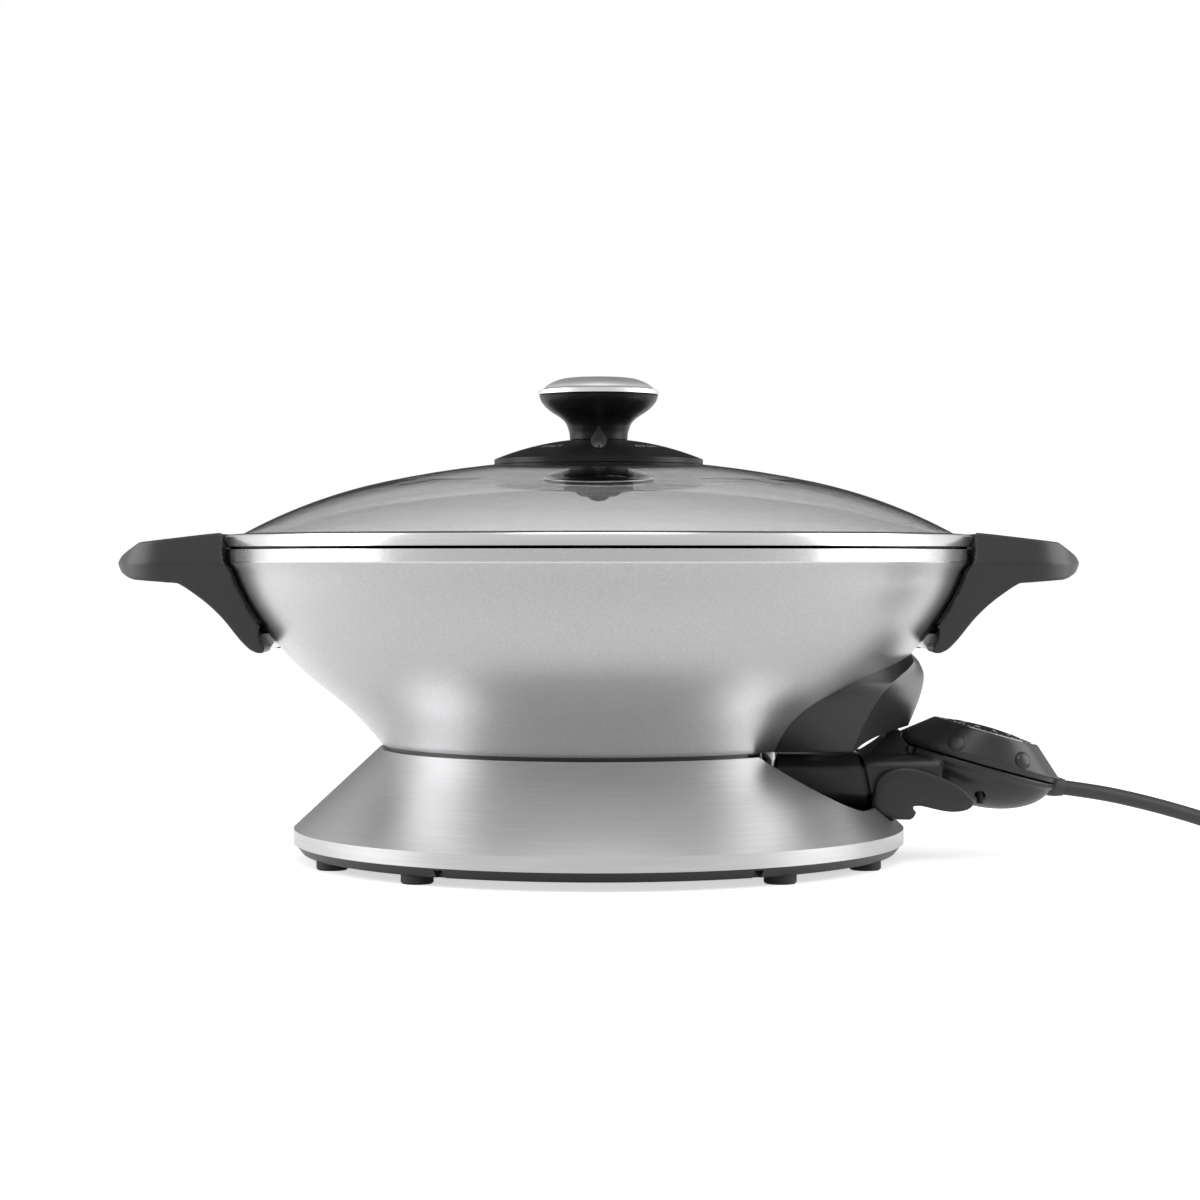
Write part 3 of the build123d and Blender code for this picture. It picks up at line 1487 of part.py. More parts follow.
# ---------------------------------------------------------------- connector of the probe

with BuildPart() as connector_block:
    with BuildSketch(Plane.YZ.offset(mate_x(terminal_z, 0) - block_length)):
        with Locations((0, block_mid_z)):
            RectangleRounded(2 * block_half_width, block_height, block_corner_radius)
        with Locations((-terminal_spread, terminal_z), (terminal_spread, terminal_z)):
            Circle(terminal_radius + running_gap + contact_wall + press_gap, mode=Mode.SUBTRACT)
        with Locations((0, terminal_z)):
            Circle(sensor_radius + press_gap, mode=Mode.SUBTRACT)
        with Locations((0, blade_z)):
            Rectangle(blade_width + 1.0, blade_thickness + 2.4, mode=Mode.SUBTRACT)
    extrude(amount=block_length + block_depth)
save(connector_block, "connector_block")

with BuildPart() as contact_sockets:
    with BuildSketch(Plane.YZ.offset(mate_x(terminal_z, 0) - block_length)):
        with Locations((-terminal_spread, terminal_z), (terminal_spread, terminal_z)):
            Circle(terminal_radius + running_gap + contact_wall)
            Circle(terminal_radius + running_gap, mode=Mode.SUBTRACT)
    extrude(amount=block_length)
save(contact_sockets, "contact_sockets")

with BuildPart() as sensor_rod:
    with BuildSketch(Plane.YZ.offset(rod_start_x)):
        with Locations((0, terminal_z)):
            Circle(sensor_radius)
    extrude(amount=mate_x(terminal_z, 0) + block_depth + 6 - rod_start_x)
    fillet(sensor_rod.faces().group_by(Axis.X)[0].edges(), 1.5)
save(sensor_rod, "sensor_rod")

with BuildPart() as earth_contact:
    with BuildSketch(Plane.YZ.offset(mate_x(terminal_z, 0) - block_length)):
        with Locations((0, blade_z + blade_thickness / 2 + 0.1 + 0.4)):
            Rectangle(blade_width, 0.8)
    extrude(amount=block_length)
save(earth_contact, "earth_contact")

with BuildPart() as indicator_lamp:
    with BuildSketch(head_sketch_plane(thermostat_drop)):
        with Locations(lamp_place):
            Circle(lamp_radius)
    extrude(amount=lamp_length)
    fillet(indicator_lamp.edges().sort_by(Axis.Z)[-1], 2)
save(indicator_lamp, "indicator_lamp")

with BuildPart() as probe_screws:
    for x, y in screw_places:
        foot_z = nose_bottom_z + 1 if x < dial_x else head_screw_z
        with BuildSketch(Plane.XY.offset(foot_z)):
            with Locations((x, y)):
                Circle(screw_radius)
        extrude(amount=probe_screw_length)
save(probe_screws, "probe_screws")

# ---------------------------------------------------------------- trigger

# Side outline: the long rounded lever, then the claw under the nose, that carries on from it
trigger_lever = (
    (5.6, -2.2), (7.2, 1.7), (11.8, 5.5), (17.9, 7.3), (24.2, 7.1), (33.4, 4.7),
    (41.2, 1.7), (49.0, -2.6), (54.3, -7.6), (56.1, -10.7), (55.1, -13.0), (51.2, -14.9),
    (45.1, -15.5), (36.6, -14.2), (28.9, -12.4),
)
trigger_claw = (
    (28.9, -12.4), (24.6, -12.5), (25.0, -13.7), (26.7, -15.7), (25.7, -18.0), (23.8, -19.6),
    (16.5, -19.4), (6.4, -18.7), (4.4, -16.1), (3.5, -12.3), (5.6, -2.2),
)
trigger_bar_top_z = nose_bottom_z - moving_gap - 1.8
trigger_bar_end_x = trigger_x + 12.5
trigger_inner_y = trigger_half_width - trigger_wall
trigger_axis = Axis((trigger_x, 0, trigger_z), (0, -1, 0))

with BuildPart() as eject_trigger:
    with BuildSketch(Plane.XZ.offset(-trigger_half_width)):
        with BuildLine():
            Spline(*from_socket(trigger_lever))
            Polyline(*from_socket(trigger_claw))
        make_face()
    extrude(amount=2 * trigger_half_width)
    with BuildSketch(Plane.XZ.offset(trigger_skin - trigger_half_width)):
        with Locations((trigger_x, trigger_z)):
            Circle(trigger_pin_radius + running_gap)
    extrude(amount=2 * (trigger_half_width - trigger_skin), mode=Mode.SUBTRACT)
    with BuildSketch(Plane.XZ.offset(-trigger_inner_y)):
        with BuildLine():
            Polyline(
                (trigger_x - 20, trigger_bar_top_z),
                (trigger_bar_end_x, trigger_bar_top_z),
                (trigger_bar_end_x, 0),
                (dial_x, 0),
                (dial_x, dial_z),
                (trigger_x - 20, dial_z),
                close=True,
            )
        make_face()
    extrude(amount=2 * trigger_inner_y, mode=Mode.SUBTRACT)
    # room beside the head, at rest and when it is pressed
    for angle in (0, trigger_swing):
        add(belly_solid(-moving_gap).rotate(trigger_axis, -angle), mode=Mode.SUBTRACT)
        add(belly_rim(moving_gap).rotate(trigger_axis, -angle), mode=Mode.SUBTRACT)
        add(
            head_loft(-moving_gap, head_top_depth, head_seam_depth + seam_gap).rotate(trigger_axis, -angle),
            mode=Mode.SUBTRACT,
        )
save(eject_trigger, "eject_trigger")

pin_end_y = trigger_half_width - trigger_skin - seat_gap

with BuildPart() as trigger_pins:
    for side in (-1, 1):
        with BuildSketch(Plane.XZ.offset(side * pin_end_y)):
            with Locations((trigger_x, trigger_z)):
                Circle(trigger_pin_radius)
        extrude(amount=-side * (pin_end_y - housing_half_width + probe_wall))
save(trigger_pins, "trigger_pins")

with BuildPart() as trigger_springs:
    for side in (-1, 1):
        with BuildSketch(Plane.XZ.offset(side * (trigger_inner_y - moving_gap))):
            with Locations((trigger_x, trigger_z)):
                Circle(trigger_pin_radius + 0.2 + spring_wire)
                Circle(trigger_pin_radius + press_gap, mode=Mode.SUBTRACT)
        extrude(amount=-side * (trigger_inner_y - moving_gap - housing_half_width - seat_gap))
save(trigger_springs, "trigger_springs")

# ---------------------------------------------------------------- mains lead

with BuildPart() as strain_relief:
    with BuildSketch(relief_plane.offset(-relief_taper_length)):
        Circle(relief_radius)
    extrude(amount=relief_taper_length - relief_length)
    with BuildSketch(relief_plane.offset(-relief_taper_length)):
        Circle(relief_radius)
    with BuildSketch(relief_plane):
        Circle(cord_radius + relief_lip)
    loft()
save(strain_relief, "strain_relief")


def bend_radii(points):
    """The largest radius that fits each corner of a route."""
    radii = []
    for before, here, after in zip(points, points[1:], points[2:]):
        run_in = Vector(*here) - Vector(*before)
        run_out = Vector(*after) - Vector(*here)
        half_turn = radians(run_in.get_angle(run_out)) / 2
        radii.append(0.45 * min(run_in.length, run_out.length) / tan(half_turn))
    return radii


radii = bend_radii(cord_route)
print("cord radii", [round(r) for r in radii])

with BuildPart() as mains_cord:
    with BuildLine() as cord_line:
        route = FilletPolyline(*cord_route, radius=radii)
    with BuildSketch(Plane(origin=cord_route[0], z_dir=Vector(*cord_route[1]) - Vector(*cord_route[0]))):
        Circle(cord_radius)
    sweep(path=route)
save(mains_cord, "mains_cord")
tube_volume = pi * cord_radius**2 * route.length
print("cord length", round(route.length, 1), "volume", round(mains_cord.part.volume),
      "expected", round(tube_volume))

with BuildPart() as cord_coil:
    with BuildSketch(Plane.XY):
        with Locations(coil_centre):
            Circle(coil_radius + coil_half_width)
            Circle(coil_radius - coil_half_width, mode=Mode.SUBTRACT)
    extrude(amount=coil_height)
save(cord_coil, "cord_coil")

plug_x = coil_centre[0] + coil_radius + coil_half_width - cord_radius
plug_z = plug_height / 2
plug_relief_radius = cord_radius + 1
coil_edge = coil_radius + coil_half_width
relief_inner_x = plug_x - plug_relief_radius - coil_centre[0]
relief_start_y = coil_centre[1] + (coil_edge**2 - relief_inner_x**2) ** 0.5 + seat_gap

with BuildPart() as plug_body:
    with BuildSketch(Plane.XZ.offset(-relief_start_y)):
        with Locations((plug_x, plug_z)):
            Circle(plug_relief_radius)
    with BuildSketch(Plane.XZ.offset(-relief_start_y - plug_relief_length)):
        with Locations((plug_x, plug_z)):
            Circle(plug_relief_radius + 2.5)
    loft()
    with BuildSketch(Plane.XZ.offset(-relief_start_y - plug_relief_length)):
        with Locations((plug_x, plug_z)):
            RectangleRounded(plug_width, plug_height, 7)
    extrude(amount=-plug_length)
save(plug_body, "plug_body")

plug_face_y = relief_start_y + plug_relief_length + plug_length

with BuildPart() as plug_pins:
    with BuildSketch(Plane.XZ.offset(-plug_face_y)):
        for side in (-1, 1):
            with Locations((plug_x + side * plug_blade_spread / 2, plug_z + 3)):
                Rectangle(plug_blade[0], plug_blade[2])
    extrude(amount=-plug_blade[1])
    with BuildSketch(Plane.XZ.offset(-plug_face_y)):
        with Locations((plug_x, plug_z - 7)):
            Circle(plug_earth_radius)
    extrude(amount=-plug_earth_length)
save(plug_pins, "plug_pins")
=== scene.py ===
import json
from math import atan2, cos, pi, radians, sin, sqrt

import bmesh
import bpy
from mathutils import Matrix, Vector
from mathutils.bvhtree import BVHTree


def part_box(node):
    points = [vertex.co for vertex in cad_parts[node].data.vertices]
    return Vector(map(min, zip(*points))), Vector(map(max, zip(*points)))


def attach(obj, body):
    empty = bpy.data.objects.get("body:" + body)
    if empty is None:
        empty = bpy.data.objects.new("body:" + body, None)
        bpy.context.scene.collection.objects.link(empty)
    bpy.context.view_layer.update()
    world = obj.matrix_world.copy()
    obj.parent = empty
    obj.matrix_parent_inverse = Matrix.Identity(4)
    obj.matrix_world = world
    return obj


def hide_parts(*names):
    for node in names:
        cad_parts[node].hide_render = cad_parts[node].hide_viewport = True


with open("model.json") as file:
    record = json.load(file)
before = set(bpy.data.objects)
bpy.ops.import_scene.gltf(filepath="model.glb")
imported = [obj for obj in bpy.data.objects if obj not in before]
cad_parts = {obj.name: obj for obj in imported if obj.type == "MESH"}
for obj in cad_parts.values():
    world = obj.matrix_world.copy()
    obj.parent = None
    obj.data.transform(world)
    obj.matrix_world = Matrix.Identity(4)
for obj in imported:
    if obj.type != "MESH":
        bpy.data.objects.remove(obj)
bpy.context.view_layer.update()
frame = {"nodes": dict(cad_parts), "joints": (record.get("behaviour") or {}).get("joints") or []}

# An electric wok: cast bowl on a steel base, loose glass lid, plug-in control probe with its lead.
# Metres, +Z up, +X towards the probe, -Y towards the front.

scene = bpy.context.scene
nodes = frame["nodes"]
MM = 0.001


# ------------------------------------------------------------------ camera and view

PICTURE_PIXELS = 1200
FOCAL_PIXELS = 2750
HORIZON_ROW = 558.1
AXIS_COLUMN = 598.7
CAMERA_DISTANCE = 1.444
CAMERA_HEIGHT = 0.157

camera_data = bpy.data.cameras.new("camera")
camera_data.sensor_width = 36
camera_data.lens = FOCAL_PIXELS * camera_data.sensor_width / PICTURE_PIXELS
camera = bpy.data.objects.new("camera", camera_data)
scene.collection.objects.link(camera)
camera.location = (0, -CAMERA_DISTANCE, CAMERA_HEIGHT)
look_down = atan2(PICTURE_PIXELS / 2 - HORIZON_ROW, FOCAL_PIXELS)
look_right = atan2(PICTURE_PIXELS / 2 - AXIS_COLUMN, FOCAL_PIXELS)
camera.rotation_euler = (pi / 2 - look_down, 0, -look_right)
scene.camera = camera

scene.view_settings.view_transform = "Standard"


# ------------------------------------------------------------------ small helpers

MERGE_DISTANCE = 0.000002
FAR = 0.5  # lines that are shot at a surface start this far out
DOWN = Vector((0, 0, -1))


def put_in_scene(name, data):
    """A new object at the origin that holds a mesh, a curve or a lamp."""
    piece = bpy.data.objects.new(name, data)
    scene.collection.objects.link(piece)
    return piece


def mesh_from(name, shape):
    """A mesh from a bmesh, which is used up."""
    mesh = bpy.data.meshes.new(name)
    shape.to_mesh(mesh)
    shape.free()
    return mesh


def modify(piece, kind, **settings):
    """A modifier with its settings, after the piece's others."""
    made = piece.modifiers.new(kind.lower(), kind)
    for key, value in settings.items():
        setattr(made, key, value)
    return made


def baked(helper):
    """The mesh that a helper object makes with its modifiers. The object itself is removed."""
    graph = bpy.context.evaluated_depsgraph_get()
    mesh = bpy.data.meshes.new_from_object(helper.evaluated_get(graph))
    bpy.data.objects.remove(helper)
    return mesh


def smooth_shading(mesh, sharp_above=35):
    """Smooth faces, with a crease where two faces meet at more than an angle in degrees."""
    mesh.polygons.foreach_set("use_smooth", [True] * len(mesh.polygons))
    mesh.set_sharp_from_angle(angle=radians(sharp_above))


def merged_copy(node):
    """A CAD node's shape with its loose triangles joined."""
    shape = bmesh.new()
    shape.from_mesh(nodes[node].data)
    bmesh.ops.remove_doubles(shape, verts=shape.verts, dist=MERGE_DISTANCE)
    bmesh.ops.recalc_face_normals(shape, faces=shape.faces)
    return shape


def surface_of(mesh_source):
    """What a straight line can be shot at: a CAD node by its name, or a piece."""
    if isinstance(mesh_source, str):
        shape = merged_copy(mesh_source)
    else:
        shape = bmesh.new()
        shape.from_mesh(mesh_source.data)
    surface = BVHTree.FromBMesh(shape)
    shape.free()
    return surface


def add_ring(shape, radius, z, sides):
    """A level circle of vertices round the axis."""
    turns = [2 * pi * i / sides for i in range(sides)]
    return [shape.verts.new((radius * cos(turn), radius * sin(turn), z)) for turn in turns]


def join_rings(shape, rings):
    """Faces from each ring of vertices to the next one."""
    for near, far in zip(rings, rings[1:]):
        for i in range(len(near)):
            after = (i + 1) % len(near)
            shape.faces.new((near[i], near[after], far[after], far[i]))


def finished(name, mesh, material, body):
    """A new piece of the object that rides on a body."""
    mesh.name = name
    mesh.materials.clear()
    mesh.materials.append(material)
    piece = put_in_scene(name, mesh)
    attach(piece, body)
    return piece


def stand_in(name, mesh, material, body, node):
    """A new piece that takes the place of a CAD node, which is hidden."""
    piece = finished(name, mesh, material, body)
    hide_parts(node)
    return piece


# ------------------------------------------------------------------ node building

LEVEL = (1, 1, 0)  # a vector times this keeps its x and y, and loses its z


def add_node(tree, kind, inputs=None, **settings):
    """A node with its settings, and with values or other nodes' outputs on its inputs."""
    made = tree.nodes.new(kind)
    for key, value in settings.items():
        setattr(made, key, value)
    for key, value in (inputs or {}).items():
        if isinstance(value, bpy.types.NodeSocket):
            tree.links.new(value, made.inputs[key])
        else:
            made.inputs[key].default_value = value
    return made


def math_node(tree, operation, first, second=0.0, clamp=False):
    """A sum with one or two numbers."""
    return add_node(
        tree, "ShaderNodeMath", {0: first, 1: second}, operation=operation, use_clamp=clamp
    ).outputs[0]


def multiply_add(tree, value, factor, base):
    """A value times a factor, plus a base."""
    return add_node(
        tree, "ShaderNodeMath", {0: value, 1: factor, 2: base}, operation="MULTIPLY_ADD"
    ).outputs[0]


def range_node(tree, value, low, high, start, end):
    """A value's place between low and high, as a level between start and end."""
    return add_node(
        tree, "ShaderNodeMapRange", {"Value": value, 1: low, 2: high, 3: start, 4: end}
    ).outputs[0]


def vector_node(tree, operation, first, second=(0, 0, 0)):
    """A sum with one or two vectors. Its result is a number for a length and a dot product."""
    made = add_node(tree, "ShaderNodeVectorMath", {0: first, 1: second}, operation=operation)
    return made.outputs["Value" if operation in ("LENGTH", "DOT_PRODUCT") else "Vector"]


def parts_of(tree, vector):
    """The x, y and z of a vector."""
    return add_node(tree, "ShaderNodeSeparateXYZ", {0: vector}).outputs


def noise(tree, place, scale, detail, roughness=0.5):
    """Cloudy noise about a half, with its scale in clouds to a metre on Object coordinates."""
    return add_node(
        tree, "ShaderNodeTexNoise",
        {"Vector": place, "Scale": scale, "Detail": detail, "Roughness": roughness},
    ).outputs[0]


def mixed(tree, share, first, second):
    """The first colour, or the second one where the share is 1."""
    return add_node(
        tree, "ShaderNodeMix", {"Factor": share, "A": first, "B": second}, data_type="RGBA"
    ).outputs["Result"]


def object_place(tree):
    """Where on the object a point is."""
    return tree.nodes.new("ShaderNodeTexCoord").outputs["Object"]


# ------------------------------------------------------------------ shader groups

def new_effect(name, sizes):
    """An empty shader group. A place and named sizes go in, and a tone near 1 and a height come out."""
    tree = bpy.data.node_groups.new(name, "ShaderNodeTree")
    tree.interface.new_socket("Vector", in_out="INPUT", socket_type="NodeSocketVector")
    for label, size in sizes.items():
        socket = tree.interface.new_socket(label, in_out="INPUT", socket_type="NodeSocketFloat")
        socket.default_value = size
    for label in ("Tone", "Height"):
        tree.interface.new_socket(label, in_out="OUTPUT", socket_type="NodeSocketFloat")
    return tree, tree.nodes.new("NodeGroupInput").outputs, tree.nodes.new("NodeGroupOutput").inputs


def make_moulded_grain():
    """The fine pebbled skin of moulded plastic, with slow changes of tone."""
    tree, given, result = new_effect("moulded_grain", {"Grain size": 0.0005})
    per_metre = math_node(tree, "DIVIDE", 1.0, given["Grain size"])
    pebbles = noise(tree, given["Vector"], per_metre, 2.0, 0.6)
    cloud = noise(tree, given["Vector"], 55.0, 3.0)
    drift = multiply_add(tree, cloud, 0.16, 0.86)
    tree.links.new(multiply_add(tree, pebbles, 0.12, drift), result["Tone"])
    tree.links.new(pebbles, result["Height"])
    return tree


def make_brushed_lines():
    """Brush lines that run round the upright axis: fine ones on top of wider ones."""
    tree, given, result = new_effect(
        "brushed_lines", {"Line width": 0.0002, "Line length": 0.03, "Radius": 0.14}
    )
    x, y, z = parts_of(tree, given["Vector"])
    turn = math_node(tree, "ARCTAN2", x, math_node(tree, "MULTIPLY", y, -1.0))
    along = math_node(tree, "MULTIPLY", turn, given["Radius"])
    along = math_node(tree, "DIVIDE", along, given["Line length"])
    reach = vector_node(tree, "LENGTH", vector_node(tree, "MULTIPLY", given["Vector"], LEVEL))
    slope = math_node(tree, "DIVIDE", math_node(tree, "SUBTRACT", z, reach), given["Line width"])
    lines = add_node(tree, "ShaderNodeCombineXYZ", {0: along, 1: slope}).outputs[0]
    wide_lines = vector_node(tree, "MULTIPLY", lines, (0.5, 0.12, 1))
    fine = noise(tree, lines, 1.0, 3.0, 0.6)
    both = math_node(tree, "ADD", fine, noise(tree, wide_lines, 1.0, 2.0))
    tree.links.new(multiply_add(tree, both, 0.22, 0.78), result["Tone"])
    tree.links.new(fine, result["Height"])
    return tree


def make_metal_flake():
    """The sparkle of metallic paint on a fine blasted casting."""
    tree, given, result = new_effect("metal_flake", {"Flake size": 0.0005})
    per_metre = math_node(tree, "DIVIDE", 1.0, given["Flake size"])
    flakes = add_node(tree, "ShaderNodeTexVoronoi", {"Vector": given["Vector"], "Scale": per_metre})
    shade = add_node(tree, "ShaderNodeSeparateColor", {0: flakes.outputs["Color"]})
    tree.links.new(multiply_add(tree, shade.outputs[0], 0.14, 0.93), result["Tone"])
    tree.links.new(noise(tree, given["Vector"], 900.0, 2.0, 0.6), result["Height"])
    return tree


GRAIN = make_moulded_grain()
BRUSH = make_brushed_lines()
FLAKE = make_metal_flake()


# ------------------------------------------------------------------ materials

def new_material(name):
    """A material, its node tree, and the inputs of its surface."""
    material = bpy.data.materials.new(name)
    material.use_nodes = True
    tree = material.node_tree
    return material, tree, tree.nodes["Principled BSDF"].inputs


def finish_with(name, group, sizes, colour, roughness, bump, depth, **shader):
    """A material whose colour, roughness and bump come from one of the groups."""
    material, tree, surface = new_material(name)
    effect = add_node(
        tree, "ShaderNodeGroup", {"Vector": object_place(tree), **sizes}, node_tree=group
    ).outputs
    relief = add_node(
        tree, "ShaderNodeBump", {"Height": effect["Height"], "Strength": bump, "Distance": depth}
    )
    tree.links.new(vector_node(tree, "MULTIPLY", colour, effect["Tone"]), surface["Base Color"])
    tree.links.new(math_node(tree, "DIVIDE", roughness, effect["Tone"], clamp=True), surface["Roughness"])
    tree.links.new(relief.outputs[0], surface["Normal"])
    for key, value in shader.items():
        surface[key.replace("_", " ")].default_value = value
    material.diffuse_color = (*colour, 1)
    return material


def grey(level):
    """A grey with a trace of blue."""
    return (level, level, level * 1.01)


POLISH_LINES = {"Line width": 0.001, "Line length": 0.2, "Radius": 0.19}

charcoal_moulding = finish_with(
    "charcoal_moulding", GRAIN, {"Grain size": 0.0006}, grey(0.022), 0.34, 0.12, 0.0002,
)
black_moulding = finish_with(
    "black_moulding", GRAIN, {"Grain size": 0.0006}, grey(0.012), 0.36, 0.1, 0.0002,
)
satin_black = finish_with(
    "satin_black", GRAIN, {"Grain size": 0.0008}, grey(0.008), 0.34, 0.04, 0.0001, Specular_IOR_Level=0.25,
)
gloss_dial = finish_with(
    "gloss_dial", GRAIN, {"Grain size": 0.003}, grey(0.006), 0.3, 0.01, 0.0001, Specular_IOR_Level=0.15,
)
foot_rubber = finish_with(
    "foot_rubber", GRAIN, {"Grain size": 0.0009}, grey(0.02), 0.7, 0.2, 0.0002,
)
lead_jacket = finish_with(
    "lead_jacket", GRAIN, {"Grain size": 0.0012}, grey(0.05), 0.5, 0.08, 0.0002,
)
brushed_skirt = finish_with(
    "brushed_skirt", BRUSH, {"Line width": 0.00018, "Line length": 0.024}, grey(0.6), 0.35, 0.12, 0.0001,
    Metallic=1.0,
)
brushed_cap = finish_with(
    "brushed_cap", BRUSH, {"Line width": 0.00016, "Line length": 0.008, "Radius": 0.02},
    grey(0.84), 0.46, 0.1, 0.0001, Metallic=1.0,
)
polished_steel = finish_with(
    "polished_steel", BRUSH, POLISH_LINES, grey(0.66), 0.09, 0.01, 0.0001, Metallic=1.0,
)
plain_steel = finish_with(
    "plain_steel", FLAKE, {"Flake size": 0.0016}, grey(0.66), 0.26, 0.02, 0.00005, Metallic=1.0,
)
element_sheath = finish_with(
    "element_sheath", FLAKE, {"Flake size": 0.002}, (0.11, 0.1, 0.095), 0.45, 0.2, 0.0002, Metallic=1.0,
)
contact_brass = finish_with(
    "contact_brass", FLAKE, {"Flake size": 0.001}, (0.72, 0.52, 0.2), 0.25, 0.05, 0.0001, Metallic=1.0,
)
glazed_ceramic = finish_with(
    "glazed_ceramic", GRAIN, {"Grain size": 0.002}, (0.78, 0.75, 0.68), 0.2, 0.05, 0.0001,
)
white_print = finish_with(
    "white_print", GRAIN, {"Grain size": 0.0005}, grey(0.62), 0.5, 0.02, 0.0001,
)
grey_print = finish_with(
    "grey_print", GRAIN, {"Grain size": 0.0005}, grey(0.22), 0.5, 0.02, 0.0001,
)


def make_clear(name, colour, roughness):
    """See-through glass, with a faint waviness."""
    material, tree, surface = new_material(name)
    surface["Base Color"].default_value = (*colour, 1)
    surface["Roughness"].default_value = roughness
    surface["IOR"].default_value = 1.5
    surface["Transmission Weight"].default_value = 1.0
    waves = noise(tree, object_place(tree), 14.0, 1.0)
    relief = add_node(tree, "ShaderNodeBump", {"Height": waves, "Strength": 0.005, "Distance": 0.001})
    tree.links.new(relief.outputs[0], surface["Normal"])
    material.diffuse_color = (*colour, 0.35)
    return material


lid_clear = make_clear("lid_clear", (0.93, 0.935, 0.935), 0.0)
lamp_clear = make_clear("lamp_clear", (0.9, 0.35, 0.2), 0.1)


BOWL_RIM_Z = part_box("wok_bowl")[1].z
BOWL_FLOOR_Z = 0.0685
LINING_LEAN = -0.02  # what looks outwards by less than this is lined
LINING_UPWARD = 0.9  # and so is what looks up by more than this, inside the bowl
LINING_BELOW_RIM = 0.004
LINING_UNDER_FLOOR = 0.002  # it reaches this far under the height of the bowl's floor
LINING_FLECKS = 700.0  # in a metre
LINING_GREYS = (0.06, 0.022)  # of a fleck, and of the rest
LINING_ROUGHER = 0.06  # than the paint
RIM_BAND_HEIGHT = 0.0067
# painted highlight: the band at the rim is coloured lighter than the rest of the bowl's paint, for the
# brightness that light gives it
RIM_PAINTED_HIGHLIGHT_COLOUR = (0.74, 0.74, 0.745, 1.0)
RIM_BAND_ROUGHER = -0.1  # than the paint
GAP_SHADE_TOP_Z = BOWL_RIM_Z + 0.00145  # the lid's band is painted black below this, as painted shade in the gap between the bowl and the lid


def bowl_lining(tree, place, height):
    """Mask of the bowl's inside, from its floor up to the rim."""
    normal = tree.nodes.new("ShaderNodeNewGeometry").outputs["Normal"]
    outward = vector_node(tree, "NORMALIZE", vector_node(tree, "MULTIPLY", place, LEVEL))
    inward = math_node(tree, "LESS_THAN", vector_node(tree, "DOT_PRODUCT", normal, outward), LINING_LEAN)
    upward = math_node(tree, "GREATER_THAN", parts_of(tree, normal)[2], LINING_UPWARD)
    deep = math_node(tree, "LESS_THAN", height, BOWL_RIM_Z - LINING_BELOW_RIM)
    lining = math_node(tree, "MAXIMUM", inward, math_node(tree, "MULTIPLY", upward, deep))
    over_floor = math_node(tree, "GREATER_THAN", height, BOWL_FLOOR_Z - LINING_UNDER_FLOOR)
    return math_node(tree, "MULTIPLY", lining, over_floor)


def make_cast_bowl():
    """Silver metallic paint, a band at the rim that is smoother and painted lighter as a highlight, and a
    dark speckled lining inside it.
    """
    material = finish_with(
        "cast_bowl", FLAKE, {"Flake size": 0.0005}, grey(0.55), 0.35, 0.1, 0.0001, Metallic=1.0,
    )
    tree = material.node_tree
    surface = tree.nodes["Principled BSDF"].inputs
    tint = surface["Base Color"].links[0].from_socket
    rough = surface["Roughness"].links[0].from_socket
    place = object_place(tree)
    height = parts_of(tree, place)[2]
    lining = bowl_lining(tree, place, height)
    bare = math_node(tree, "SUBTRACT", 1.0, lining)
    # the band at the rim: smoother than the paint, and painted lighter as a highlight
    smoother_painted_highlight_band = math_node(tree, "GREATER_THAN", height, BOWL_RIM_Z - RIM_BAND_HEIGHT)
    smoother_painted_highlight_band = math_node(tree, "MULTIPLY", smoother_painted_highlight_band, bare)
    speckle = add_node(tree, "ShaderNodeTexVoronoi", {"Vector": place, "Scale": LINING_FLECKS})
    fleck = range_node(tree, speckle.outputs["Distance"], 0.0, 0.35, *LINING_GREYS)
    dark = add_node(tree, "ShaderNodeCombineXYZ", {0: fleck, 1: fleck, 2: fleck}).outputs[0]
    colour = mixed(tree, smoother_painted_highlight_band, mixed(tree, lining, tint, dark), RIM_PAINTED_HIGHLIGHT_COLOUR)
    rough = multiply_add(tree, lining, LINING_ROUGHER, rough)
    rough = multiply_add(tree, smoother_painted_highlight_band, RIM_BAND_ROUGHER, rough)
    tree.links.new(colour, surface["Base Color"])
    tree.links.new(bare, surface["Metallic"])
    tree.links.new(rough, surface["Roughness"])
    return material


def make_lid_band():
    """Polished steel of the lid's band, painted black as shade in the gap that it leaves over the bowl's
    rim.
    """
    material = finish_with(
        "lid_band_steel", BRUSH, POLISH_LINES, grey(0.8), 0.22, 0.01, 0.0001, Metallic=1.0,
    )
    tree = material.node_tree
    colour = tree.nodes["Principled BSDF"].inputs["Base Color"]
    # painted shade: the band's colour is set to black below the top of the gap over the rim
    above_painted_shade = math_node(tree, "GREATER_THAN", parts_of(tree, object_place(tree))[2], GAP_SHADE_TOP_Z)
    band_with_painted_shade = vector_node(tree, "MULTIPLY", colour.links[0].from_socket, above_painted_shade)
    tree.links.new(band_with_painted_shade, colour)
    return material


cast_bowl = make_cast_bowl()
lid_band_steel = make_lid_band()


# ------------------------------------------------------------------ CAD nodes that stay

CREASE_ANGLE = radians(28)


